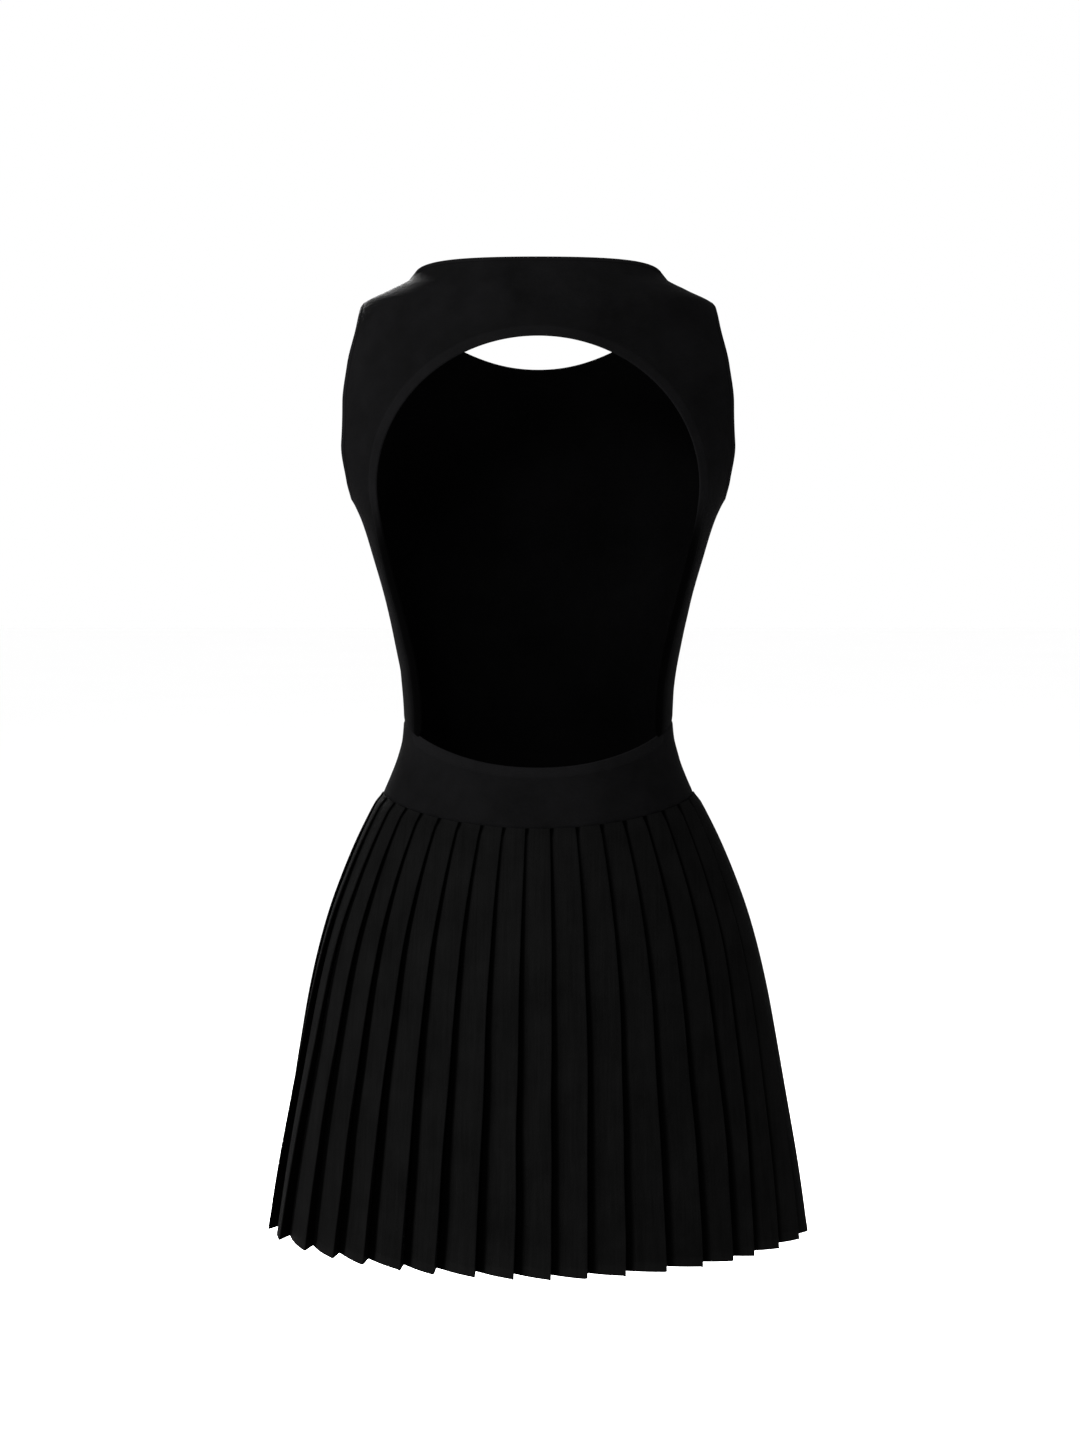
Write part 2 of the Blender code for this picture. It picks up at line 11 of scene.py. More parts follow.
import bpy
import numpy as np
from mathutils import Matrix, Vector


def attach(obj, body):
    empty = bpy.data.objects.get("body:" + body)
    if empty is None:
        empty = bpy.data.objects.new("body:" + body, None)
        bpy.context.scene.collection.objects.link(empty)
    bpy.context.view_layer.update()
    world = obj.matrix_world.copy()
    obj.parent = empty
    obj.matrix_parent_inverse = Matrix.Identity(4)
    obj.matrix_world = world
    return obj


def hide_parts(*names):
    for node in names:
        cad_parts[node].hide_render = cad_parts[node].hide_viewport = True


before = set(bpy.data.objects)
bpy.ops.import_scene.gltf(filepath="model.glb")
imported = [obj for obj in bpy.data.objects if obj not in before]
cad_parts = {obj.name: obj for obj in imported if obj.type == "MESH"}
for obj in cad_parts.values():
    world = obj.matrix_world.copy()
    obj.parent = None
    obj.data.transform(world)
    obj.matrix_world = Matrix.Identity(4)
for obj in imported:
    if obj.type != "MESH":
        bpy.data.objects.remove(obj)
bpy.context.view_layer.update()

MM = 0.001

# ----- Sizes of the worn cloth, the same as those of the solids -----

Section = namedtuple("Section", "level half_width back front squareness")

BODICE = (
    Section(24, 98, 56, 16, 2.1),
    Section(14, 98.5, 61, 26, 2.1),
    Section(9.5, 101.5, 64, 31, 2.1),
    Section(0, 119, 70, 40, 2.1),
    Section(-10, 138.5, 75, 47, 2.1),
    Section(-18, 143.5, 79, 52, 2.1),
    Section(-30, 149, 83, 58, 2.1),
    Section(-60, 161, 91, 72, 2.1),
    Section(-90, 166, 96, 85, 2.1),
    Section(-120, 165.5, 98, 96, 2.1),
    Section(-150, 156, 97, 105, 2.1),
    Section(-164, 148.5, 96, 108, 2.1),
    Section(-180, 141, 95, 111, 2.1),
    Section(-212, 131, 91, 114, 2.1),
    Section(-244, 122, 86, 111, 2.1),
    Section(-276, 115, 81, 104, 2.1),
    Section(-308, 109.5, 77, 96, 2.1),
    Section(-340, 107.5, 76, 90, 2.1),
    Section(-375, 114, 79, 91, 2.1),
)

WAISTBAND = (
    Section(0, 107.5, 76, 90, 2.1),
    Section(0.25, 108.8, 77.5, 90.5, 2.1),
    Section(0.5, 112.5, 80, 91.5, 2.07),
    Section(0.75, 118, 83.5, 93, 2.03),
    Section(1, 124.3, 88, 95, 2),
)

SKIRT = (
    Section(0, 127, 91, 98, 2),
    Section(0.04, 134.5, 95.5, 100.5, 2),
    Section(0.1, 145, 102.5, 104, 2),
    Section(0.18, 157, 111, 108.5, 2),
    Section(0.27, 168.5, 118.5, 113, 2),
    Section(0.36, 177.5, 123.5, 117, 1.98),
    Section(0.46, 185.5, 127.5, 121.5, 1.95),
    Section(0.55, 191.5, 131, 126, 1.93),
    Section(0.69, 200.5, 137.5, 133, 1.9),
    Section(0.87, 212, 146.5, 143, 1.8),
    Section(1, 219, 153, 150, 1.74),
)

NECK_POINT_HEIGHT = 9.5
BACK_NECK_RISE = 11.0
BACK_NECK_POWER = 3.6
FRONT_NECK_DROP = 66.0
FRONT_NECK_POWER = 1.45
SHOULDER_END_HEIGHT = -11.0
UNDERARM_HEIGHT = -164.0
ARMHOLE_BACK_ANGLE = 24.0
ARMHOLE_FRONT_ANGLE = 32.0
ARMHOLE_POWER = 2.3
ARCH_TOP = -41.0
ARCH_FOOT = -158.0
ARCH_HALF_WIDTH = 126.0
WAIST_HALF_WIDTH = 94.5
DRAW_IN_POWER = 0.97
CUP_FULLNESS = 10.0
CUP_SPACING = 72.0
CUP_HEIGHT = -208.0
CUP_WIDTH = 36.0
CUP_LENGTH = 42.0
CUP_FADE_POWER = 6.0
BAND_TOP = -340.0
BAND_TOP_DIP = 33.0
BAND_TOP_POWER = 1.6
PLEAT_SEAM = -398.0
PLEAT_SEAM_DIP = 20.0
PLEAT_SEAM_POWER = 1.6
HEM = -751.0
HEIGHT_EASE = 1.6
EDGE_EASE = 14.0
EASED_REACH = 0.2

PLEATS = 38

# The back's ridges from left to right: how far round from the middle, at the seam and the hem
Fold = namedtuple("Fold", "seam hem")
BACK_FOLDS = (
    Fold(-150, -280),
    Fold(-133.5, -244),
    Fold(-117, -206),
    Fold(-100, -173),
    Fold(-82.5, -143),
    Fold(-64.5, -110.5),
    Fold(-46, -81.5),
    Fold(-28.5, -49),
    Fold(-10.5, -19.5),
    Fold(8.5, 8),
    Fold(28.5, 37),
    Fold(48, 67),
    Fold(67, 99.5),
    Fold(85.5, 132),
    Fold(104, 162),
    Fold(123, 184.5),
    Fold(142, 214.5),
    Fold(160.5, 247),
    Fold(178.5, 273),
)

# ----- Sizes that only the looks have -----

KNIT_THICKNESS = 1.1
PLEAT_THICKNESS = 0.42
HALF_GAP = 0.001
FOLD_WIDTH = 0.95

# The waistband's foot goes on behind the pleats, row by row: how far in, negative being out,
# and how far down
FOOT_TUCK = ((1.5, 0.4), (0.9, 1.9), (-0.1, 3.8), (-0.8, 5.7))

# How far each pleat's painted shade reaches: number of the pleat round the skirt, and how far
SHADE_REACHES = ((0, 1.1), (8, 1.15), (13, 1.7), (18, 2.2), (26, 1.5), (37, 1.1))

# Each pleat widens from the seam to the hem; the openings are in degrees
RETURN_SEAM = 6.5
RETURN_HEM = 8.6
OPENING_SEAM = 2.0
OPENING_HEM = 78.0
OPENING_POWER = 0.75
RIM_STEPS = 4
SHARP_ANGLE = math.radians(55.0)

# A turned edge: its width, how far it stands proud, how deep its stitching is, and how much painted
# shade darkens the stitching
Turned = namedtuple("Turned", "width proud stitch shade")
NECK_EDGE = Turned(2.6, 0.35, 0.3, 0.5)
ARMHOLE_EDGE = Turned(4.4, 0.32, 0.4, 0.6)
OPEN_BACK_EDGE = Turned(7.0, 0.42, 0.28, 0.15)
TURN_SOFTNESS = 0.8
STITCH_WIDTH = 0.5
SEAM_SINK = 0.55
SEAM_SOFTNESS = 1.3
TURN_WALL = 0.7
SINK_WALL = 0.6

# A crease fades towards its ends, and one end is wider than the other
CREASE_END_FADE = 1.6
CREASE_MIDDLE_FADE = 0.35
CREASE_SPREAD = 0.35
LEAST_CREASE_WIDTH = 1.5

# Creases: u is the distance round the body from the centre line, positive to +X, and z the
# height of the middle. turn is the angle from the level, in degrees. A negative depth is a
# trough, and bend is how far the ends curve to one side.
Crease = namedtuple("Crease", "u z turn length width depth bend")
BACK_CREASES = (
    Crease(-104, -38, 28, 34, 8, -0.75, 4),
    Crease(-88, -20, 20, 40, 10, 0.6, 3),
    Crease(-58, -6, 8, 30, 9, -0.5, -2),
    Crease(-128, -78, 66, 38, 8.5, 0.6, -4),
    Crease(-147, -118, 82, 34, 6, -0.55, 3),
    Crease(12, -12, 84, 22, 12, -0.45, 0),
    Crease(47, -14, -14, 36, 9, 0.55, -3),
    Crease(83, -32, -33, 42, 9, -0.7, -5),
    Crease(114, -47, -48, 32, 8, 0.55, 2),
    Crease(139, -104, -78, 42, 8, -0.65, 4),
    Crease(-149, -186, 38, 22, 5, -0.5, 2),
    Crease(-140, -231, 20, 20, 5.5, 0.4, -2),
    Crease(-131, -296, 12, 22, 5, -0.45, 1.5),
    Crease(150, -178, -44, 20, 5, -0.45, -2),
    Crease(139, -252, -16, 22, 6, 0.4, 2),
    Crease(129, -312, -8, 24, 5, -0.5, -1.5),
)
FRONT_CREASES = (
    Crease(-128, -172, -38, 46, 7, -1, 5),
    Crease(-112, -158, -48, 34, 8, 0.7, 4),
    Crease(126, -176, 35, 52, 7.5, -1.1, -6),
    Crease(114, -150, 50, 30, 8, 0.7, -3),
    Crease(-84, -262, -84, 44, 9, -1.1, 3),
    Crease(-64, -280, -80, 36, 8, 0.8, -3),
    Crease(80, -268, 82, 50, 10, -1.2, -4),
    Crease(58, -292, 78, 30, 8, 0.7, 2),
    Crease(0, -204, 2, 40, 12, 0.6, 4),
    Crease(6, -150, -4, 34, 13, -0.5, -3),
    Crease(-38, -98, -36, 36, 8, -0.7, 3),
    Crease(44, -92, 40, 32, 8, -0.6, -3),
    Crease(-28, -322, 4, 42, 6, -0.7, 2),
    Crease(46, -318, -5, 36, 6, -0.6, -2),
    Crease(-118, -306, 10, 34, 6, -0.7, 2),
    Crease(116, -300, -12, 38, 6.5, -0.8, -2),
    Crease(-106, -60, 62, 34, 8, -0.6, -3),
    Crease(104, -54, -60, 30, 8, -0.5, 3),
)
BAND_BACK_CREASES = (
    Crease(-112, -372, -24, 30, 7, -0.6, 3),
    Crease(-72, -390, -12, 40, 9, 0.45, 2),
    Crease(-8, -398, 3, 46, 9, -0.4, 2),
    Crease(58, -388, 14, 38, 8, 0.4, -2),
    Crease(104, -374, 26, 32, 7, -0.6, -3),
    Crease(140, -366, 14, 26, 6, 0.5, 2),
)
BAND_FRONT_CREASES = (
    Crease(-120, -362, 12, 34, 6, -0.7, 2),
    Crease(-62, -374, -6, 40, 8, 0.5, 2),
    Crease(4, -366, 3, 44, 7, -0.6, -2),
    Crease(70, -378, 8, 36, 8, 0.5, 2),
    Crease(124, -364, -14, 30, 6, -0.7, -2),
)

# Fineness of the grids
SIDE_STEPS = 40
ARMHOLE_STEPS = 66
SHOULDER_STEPS = 22
NECKLINE_STEPS = 40
YOKE_STEPS = 78
FRONT_EDGE_STEPS = 13
FRONT_EDGE_REACH = 0.05
FRONT_STEPS = 62
BAND_ROWS = 44
BAND_COLUMNS = 190
SKIRT_TOP_STEPS = 8
SKIRT_TOP_SHARE = 0.022
SKIRT_STEPS = 66
SKIRT_HEM_STEPS = 12
SKIRT_HEM_SHARE = 0.975
FOLD_STEPS = 4
RETURN_STEPS = 4
FACE_SHARES = (0.05, 0.11, 0.17, 0.23, 0.29, 0.35, 0.41, 0.47, 0.55, 0.66, 0.78, 0.9, 0.965)
RING_SAMPLES = 1440
HALVINGS = 34
TURN_ROUNDS = 8
NUDGE = 0.05
LINE_STEP = 0.8
LEAST_LINE_STEPS = 8
POINTS_AT_ONCE = 4096
FRONT_CROWDING = 1.15
YOKE_CROWDING = 0.55

# Unevenness of the pleats
SEED = 41
RIDGE_SWAY = 0.9
SWAY_AT_SEAM = 0.4
FACE_BOW = 0.55
BOW_AT_SEAM = 0.3
BOW_UNEVENNESS = 0.5
BOW_POWER = 1.3
FACE_WAVE = 0.5
WAVE_TURN = 2.2
SWAY_GROWTH, BOW_GROWTH, WAVE_GROWTH = 3.0, 2.5, 4.0
SLOW_WAVES = ((0.9, 0.55), (1.9, 0.4), (3.7, 0.22))
HEM_SWAY = 0.9
CLOSED_EASE = 0.25
CLOSED_FALL = 8.0
HEM_TURN = 7.0
HEM_SLANT = 1.9
HEM_PROUD = 0.1
HEM_STITCH = 0.08
SHADE_DEPTHS = 0.6
LEAST_SHADE = 0.75
SHADE_START = 2.5
SHADE_FALL = 2.0
TUCK = 1.9
TUCK_HEIGHT = 5.0

# The strips' free edges roll in towards the body, and painted shade darkens them there
ROLL_DEPTH = 2.6
ROLL_WIDTH = 9.0
ROLL_POWER = 1.8
ROLL_SHADE = 22.0
ROLL_TOP = -150.0
ROLL_FADE = 60.0


# ----- Curves and sections -----

def between(start, end, share):
    return start + (end - start) * share


def soft_step(value):
    share = np.clip(value, 0.0, 1.0)
    return share * share * (3.0 - 2.0 * share)


def table_curve(rows, column):
    """Smooth curve through a column of a table, level where the column turns."""
    ordered = sorted(rows, key=lambda row: row.level)
    levels = np.array([row.level for row in ordered], dtype=float)
    values = np.array([getattr(row, column) for row in ordered], dtype=float)
    runs = np.diff(levels)
    slopes = np.diff(values) / runs
    tangents = np.concatenate((slopes[:1], np.zeros(len(slopes) - 1), slopes[-1:]))
    for index in range(1, len(slopes)):
        low, high = slopes[index - 1], slopes[index]
        if low * high > 0.0:
            weight_low = 2.0 * runs[index] + runs[index - 1]
            weight_high = runs[index] + 2.0 * runs[index - 1]
            tangents[index] = (weight_low + weight_high) / (weight_low / low + weight_high / high)

    def curve(level):
        index = np.clip(np.searchsorted(levels, level) - 1, 0, len(runs) - 1)
        run = runs[index]
        share = np.clip((level - levels[index]) / run, 0.0, 1.0)
        rest = 1.0 - share
        return (values[index] * rest * rest * (1.0 + 2.0 * share)
                + tangents[index] * run * share * rest * rest
                + values[index + 1] * share * share * (3.0 - 2.0 * share)
                - tangents[index + 1] * run * share * share * rest)

    return curve


def table_curves(rows):
    return {column: table_curve(rows, column) for column in Section._fields[1:]}


BODICE_CURVES = table_curves(BODICE)
WAISTBAND_CURVES = table_curves(WAISTBAND)
SKIRT_CURVES = table_curves(SKIRT)


def plan_points(curves, level, angle):
    """Points of the sections in plan; the angle runs from +X towards the front."""
    cosine, sine = np.cos(angle), np.sin(angle)
    power = 2.0 / curves["squareness"](level)
    depth = np.where(sine > 0.0, curves["front"](level), curves["back"](level))
    x = np.sign(cosine) * curves["half_width"](level) * np.abs(cosine) ** power
    y = np.sign(sine) * depth * np.abs(sine) ** power
    return x, y


def solved(measure, wanted, low, high):
    """Values at which a growing measure comes to the wanted ones."""
    low = np.broadcast_to(low, np.shape(wanted)).astype(float)
    high = np.broadcast_to(high, np.shape(wanted)).astype(float)
    for _ in range(HALVINGS):
        middle = (low + high) / 2.0
        less = measure(middle) < wanted
        low = np.where(less, middle, low)
        high = np.where(less, high, middle)
    return low


# ----- Bodice surface: places by reach (0 at the side edge, 1 at the centre line) and height -----

def armhole_angle(height, widest):
    middle = (SHOULDER_END_HEIGHT + UNDERARM_HEIGHT) / 2.0
    half_height = (SHOULDER_END_HEIGHT - UNDERARM_HEIGHT) / 2.0
    rise = np.minimum(np.abs(height - middle) / half_height, 1.0)
    return math.radians(widest) * (1.0 - rise ** ARMHOLE_POWER) ** (1.0 / ARMHOLE_POWER)


def edge_angle(height, front):
    widest = ARMHOLE_FRONT_ANGLE if front else ARMHOLE_BACK_ANGLE
    depth = BODICE_CURVES["front" if front else "back"](height)
    seam_angle = np.arcsin((HALF_GAP / depth) ** (BODICE_CURVES["squareness"](height) / 2.0))
    return np.maximum(armhole_angle(height, widest), seam_angle)


def angle_of_reach(reach, height, front):
    window = EDGE_EASE * np.minimum(reach / EASED_REACH, 1.0)
    edge = sum(edge_angle(height + share * window, front)
               for share in (-1.0, -0.5, 0.0, 0.5, 1.0)) / 5.0
    return between(edge, math.pi / 2.0, reach)


def cup_fullness(x, height):
    across = (np.abs(x) - CUP_SPACING) / CUP_WIDTH
    along = (height - CUP_HEIGHT) / CUP_LENGTH
    reach_out = np.minimum(np.abs(x) / BODICE_CURVES["half_width"](height), 1.0)
    fade = 1.0 - reach_out ** CUP_FADE_POWER
    return CUP_FULLNESS * fade * np.exp(-0.5 * (across * across + along * along))


def bodice_size(x, y, height, front):
    """1 on the bodice's outer face, more outside it and less inside it."""
    depth = BODICE_CURVES["front" if front else "back"](height)
    if front:
        y = y - cup_fullness(x, height)
    power = BODICE_CURVES["squareness"](height)
    width = BODICE_CURVES["half_width"](height)
    return (np.abs(x) / width) ** power + (np.abs(y) / depth) ** power


def bodice_points(angle, height, front):
    x, y = plan_points(BODICE_CURVES, height, angle if front else -angle)
    if front:
        y = y + cup_fullness(x, height)
    return x, y


def bodice_normals(x, y, height, front, in_side_plane, in_level_plane):
    """Outward unit normals, kept within the plane of a seam at a seam."""
    normals = np.stack([
        bodice_size(x + NUDGE, y, height, front) - bodice_size(x - NUDGE, y, height, front),
        bodice_size(x, y + NUDGE, height, front) - bodice_size(x, y - NUDGE, height, front),
        bodice_size(x, y, height + NUDGE, front) - bodice_size(x, y, height - NUDGE, front),
    ], axis=-1)
    normals[in_side_plane, 1] = 0.0
    normals[in_level_plane, 2] = 0.0
    return normals / np.linalg.norm(normals, axis=-1, keepdims=True)


def back_neckline(reach):
    return NECK_POINT_HEIGHT + BACK_NECK_RISE * (1.0 - (1.0 - reach) ** BACK_NECK_POWER)


def front_neckline(reach):
    scoop = np.sin(math.pi / 2.0 * reach) ** FRONT_NECK_POWER
    return NECK_POINT_HEIGHT - FRONT_NECK_DROP * scoop


def open_back_half_width(height):
    drop = np.clip((ARCH_FOOT - height) / (ARCH_FOOT - BAND_TOP), 0.0, 1.0)
    draw_in = (1.0 + np.cos(math.pi * drop ** DRAW_IN_POWER)) / 2.0
    return between(WAIST_HALF_WIDTH, ARCH_HALF_WIDTH, draw_in)


def reach_of_width(half_width, height):
    share = np.minimum(half_width / BODICE_CURVES["half_width"](height), 1.0)
    wanted = np.arccos(share ** (BODICE_CURVES["squareness"](height) / 2.0))
    return solved(lambda reach: angle_of_reach(reach, height, False), wanted, 0.0, 1.0)


def band_top(angle):
    return BAND_TOP - BAND_TOP_DIP * np.maximum(-np.sin(angle), 0.0) ** BAND_TOP_POWER


def pleat_seam(angle):
    return PLEAT_SEAM - PLEAT_SEAM_DIP * np.maximum(-np.sin(angle), 0.0) ** PLEAT_SEAM_POWER


def foot_height(reach):
    return band_top(-reach * math.pi / 2.0) + HALF_GAP


def cloth_distances(front):
    """Tables of how far a place lies from the centre line and up the cloth, and a reader."""
    angles = np.linspace(0.0, math.pi / 2.0, 121)
    heights = np.linspace(-376.0, 24.0, 401)
    angle, height = np.meshgrid(angles, heights, indexing="ij")
    x, y = bodice_points(angle, height, front)
    points = np.stack((x, y, height), axis=-1)
    around = np.linalg.norm(np.diff(points, axis=0), axis=-1)
    upwards = np.linalg.norm(np.diff(points, axis=1), axis=-1)
    u = np.zeros(angle.shape)
    u[:-1] = np.cumsum(around[::-1], axis=0)[::-1]
    v = np.zeros(angle.shape)
    v[:, 1:] = np.cumsum(upwards, axis=1)

    def read(table, wanted_angle, wanted_height):
        i = np.clip(wanted_angle / angles[1], 0.0, len(angles) - 1.001)
        j = np.clip(wanted_height - heights[0], 0.0, len(heights) - 1.001)
        low_i, low_j = i.astype(int), j.astype(int)
        share_i, share_j = i - low_i, j - low_j
        low = between(table[low_i, low_j], table[low_i + 1, low_j], share_i)
        high = between(table[low_i, low_j + 1], table[low_i + 1, low_j + 1], share_i)
        return between(low, high, share_j)

    return lambda wa, wh: (read(u, wa, wh), read(v, wa, wh))


# ----- Relief: turned edges, seams and creases -----

def distance_to(points, line):
    """Distance of each point to the nearest point of a finely drawn line."""
    flat = points.reshape(-1, 3)
    runs = np.linalg.norm(np.diff(line, axis=0), axis=1)
    along = np.concatenate(([0.0], np.cumsum(runs)))
    steps = np.linspace(0.0, along[-1], max(int(along[-1] / LINE_STEP), LEAST_LINE_STEPS))
    fine = np.stack([np.interp(steps, along, line[:, axis]) for axis in range(3)], axis=1)
    squares = (fine * fine).sum(axis=1)
    nearest = np.empty(len(flat))
    for start in range(0, len(flat), POINTS_AT_ONCE):
        part = flat[start:start + POINTS_AT_ONCE]
        gaps = (part * part).sum(axis=1)[:, None] + squares - 2.0 * part @ fine.T
        nearest[start:start + POINTS_AT_ONCE] = gaps.min(axis=1)
    return np.sqrt(np.maximum(nearest, 0.0)).reshape(points.shape[:-1])


def turned_relief(distance, edge):
    """How far a turned edge stands proud, how much is turned there, and how much painted shade
    darkens its stitching.
    """
    turned = 1.0 - soft_step((distance - edge.width) / TURN_SOFTNESS)
    stitches = np.exp(-((distance - edge.width) / STITCH_WIDTH) ** 2)
    return edge.proud * turned - edge.stitch * stitches, turned, edge.shade * stitches


def sunk(points, lines):
    """How far the cloth is drawn in by the seams along the lines."""
    sink = np.zeros(points.shape[:-1])
    for line in lines:
        distance = distance_to(points, line)
        sink = np.minimum(sink, -SEAM_SINK * np.exp(-(distance / SEAM_SOFTNESS) ** 2))
    return sink


def knit_faces(base, normals, relief, edge_relief, sink):
    """Outer and inner face of the knit, its creases fading where a seam holds it."""
    held = 1.0 + sink / SEAM_SINK
    wall = KNIT_THICKNESS + TURN_WALL * edge_relief.clip(0.0) + SINK_WALL * sink
    return (base + normals * (relief * held + edge_relief + sink)[..., None],
            base + normals * (relief * held - wall)[..., None])


def crease_relief(creases, u, z):
    relief = np.zeros(np.shape(u))
    for crease in creases:
        turn = math.radians(crease.turn)
        right, up = u - crease.u, z - crease.z
        along = (right * math.cos(turn) + up * math.sin(turn)) / crease.length
        across = up * math.cos(turn) - right * math.sin(turn) - crease.bend * along * along
        fade = np.exp(-CREASE_END_FADE * along ** 4 - CREASE_MIDDLE_FADE * along * along)
        width = np.maximum(crease.width * (1.0 + CREASE_SPREAD * along), LEAST_CREASE_WIDTH)
        relief += crease.depth * fade * np.exp(-0.5 * (across / width) ** 2)
    return relief


# ----- Meshes -----

def rim_order(rows, columns):
    low = [(0, column) for column in range(columns)]
    right = [(row, columns - 1) for row in range(1, rows)]
    high = [(rows - 1, column) for column in range(columns - 2, -1, -1)]
    left = [(row, 0) for row in range(rows - 2, 0, -1)]
    return np.array(low + right + high + left)


def rim_outward(grid, rim):
    """Unit directions out of the cloth along its rim, square to the rim."""
    rows, columns = grid.shape[:2]
    inward = rim.copy()
    inward[:, 0] = np.clip(rim[:, 0], 1, rows - 2)
    inward[:, 1] = np.clip(rim[:, 1], 1, columns - 2)
    edge = grid[rim[:, 0], rim[:, 1]]
    outward = edge - grid[inward[:, 0], inward[:, 1]]
    along = np.roll(edge, -1, axis=0) - np.roll(edge, 1, axis=0)
    along /= np.linalg.norm(along, axis=1, keepdims=True)
    outward -= (outward * along).sum(axis=1, keepdims=True) * along
    return outward


def add_mark(mesh, name, values):
    """Value at each vertex that a material reads by its name."""
    attribute = mesh.attributes.new(name, "FLOAT", "POINT")
    attribute.data.foreach_set("value", values.astype(np.float32))


def cloth_shell(name, faces, free, cloth_map, marks, material):
    """Closed thin shell; its outer and inner face are matching grids of points in millimetres.

    Each row runs from left to right seen from outside, and the rows go up. free marks the
    rim's places where the edge is turned and so rounded, and not sewn. marks are values from
    0 to 1 that the cloth's material reads.
    """
    outer, inner = faces
    rows, columns = outer.shape[:2]
    rim = rim_order(rows, columns)
    count = rows * columns
    rim_outer = outer[rim[:, 0], rim[:, 1]]
    rim_inner = inner[rim[:, 0], rim[:, 1]]
    middle, half = (rim_outer + rim_inner) / 2.0, (rim_outer - rim_inner) / 2.0
    half_size = np.linalg.norm(half, axis=1, keepdims=True)
    outward = rim_outward((outer + inner) / 2.0, rim)
    across = half / half_size
    outward -= (outward * across).sum(axis=1, keepdims=True) * across
    outward /= np.maximum(np.linalg.norm(outward, axis=1, keepdims=True), 1e-9)
    round_size = half_size * free[rim[:, 0], rim[:, 1]][:, None]

    points = [outer.reshape(-1, 3), inner.reshape(-1, 3)]
    loops = [rim[:, 0] * columns + rim[:, 1]]
    for step in range(1, RIM_STEPS):
        turn = math.pi * step / RIM_STEPS
        points.append(middle + half * math.cos(turn) + outward * round_size * math.sin(turn))
        loops.append(2 * count + (step - 1) * len(rim) + np.arange(len(rim)))
    loops.append(count + loops[0])

    index = np.arange(count).reshape(rows, columns)
    quads = np.stack((index[:-1, :-1], index[:-1, 1:], index[1:, 1:], index[1:, :-1]), axis=-1)
    quads = quads.reshape(-1, 4)
    polygons = [quads, quads[:, ::-1] + count]
    for near, far in zip(loops, loops[1:]):
        near_next, far_next = np.roll(near, -1), np.roll(far, -1)
        polygons.append(np.stack((near_next, near, far, far_next), axis=-1))

    mesh = bpy.data.meshes.new(name)
    vertices = np.concatenate(points) * MM
    mesh.from_pydata(vertices.tolist(), [], np.concatenate(polygons).tolist())
    mesh.shade_smooth()
    mesh.set_sharp_from_angle(angle=SHARP_ANGLE)

    flat_map = cloth_map.reshape(-1, 2)
    rim_map = flat_map[loops[0]]
    vertex_map = np.concatenate([flat_map, flat_map] + [rim_map] * (RIM_STEPS - 1)) * MM
    layer = mesh.uv_layers.new(name="cloth")
    corners = np.empty(len(mesh.loops), dtype=np.int32)
    mesh.loops.foreach_get("vertex_index", corners)
    layer.uv.foreach_set("vector", vertex_map[corners].astype(np.float32).ravel())
    for mark, values in marks.items():
        flat = values.ravel()
        whole = np.concatenate([flat, flat] + [flat[loops[0]]] * (RIM_STEPS - 1))
        add_mark(mesh, mark, whole)
    # The inner face is marked, and the material paints shade on it
    inside = np.zeros(len(vertices))
    inside[count:2 * count] = 1.0
    add_mark(mesh, "inside", inside)
    mesh.materials.append(material)
    piece = bpy.data.objects.new(name, mesh)
    bpy.context.scene.collection.objects.link(piece)
    return piece


def mirrored(half, flip):
    """Columns from a side to the centre line, with their mirror image after it."""
    image = half[:, -2::-1] * np.array(flip)
    return np.concatenate((half, image), axis=1)


# ----- Bodice -----

def side_heights(low):
    return np.concatenate((
        np.linspace(low, UNDERARM_HEIGHT, SIDE_STEPS, endpoint=False),
        between(UNDERARM_HEIGHT, SHOULDER_END_HEIGHT,
                (1.0 - np.cos(np.linspace(0.0, math.pi, ARMHOLE_STEPS, endpoint=False))) / 2.0),
        np.linspace(SHOULDER_END_HEIGHT, NECK_POINT_HEIGHT, SHOULDER_STEPS, endpoint=False),
    ))


def strip_roll(base):
    """How far the strips' free edge rolls in, and how much painted shade darkens it there."""
    distance = distance_to(base, base[0])
    low_down = soft_step((ROLL_TOP - base[..., 2]) / ROLL_FADE)
    rolled = (1.0 - distance / ROLL_WIDTH).clip(0.0) * low_down
    return ROLL_DEPTH * rolled ** ROLL_POWER, soft_step(1.0 - distance / ROLL_SHADE) * low_down


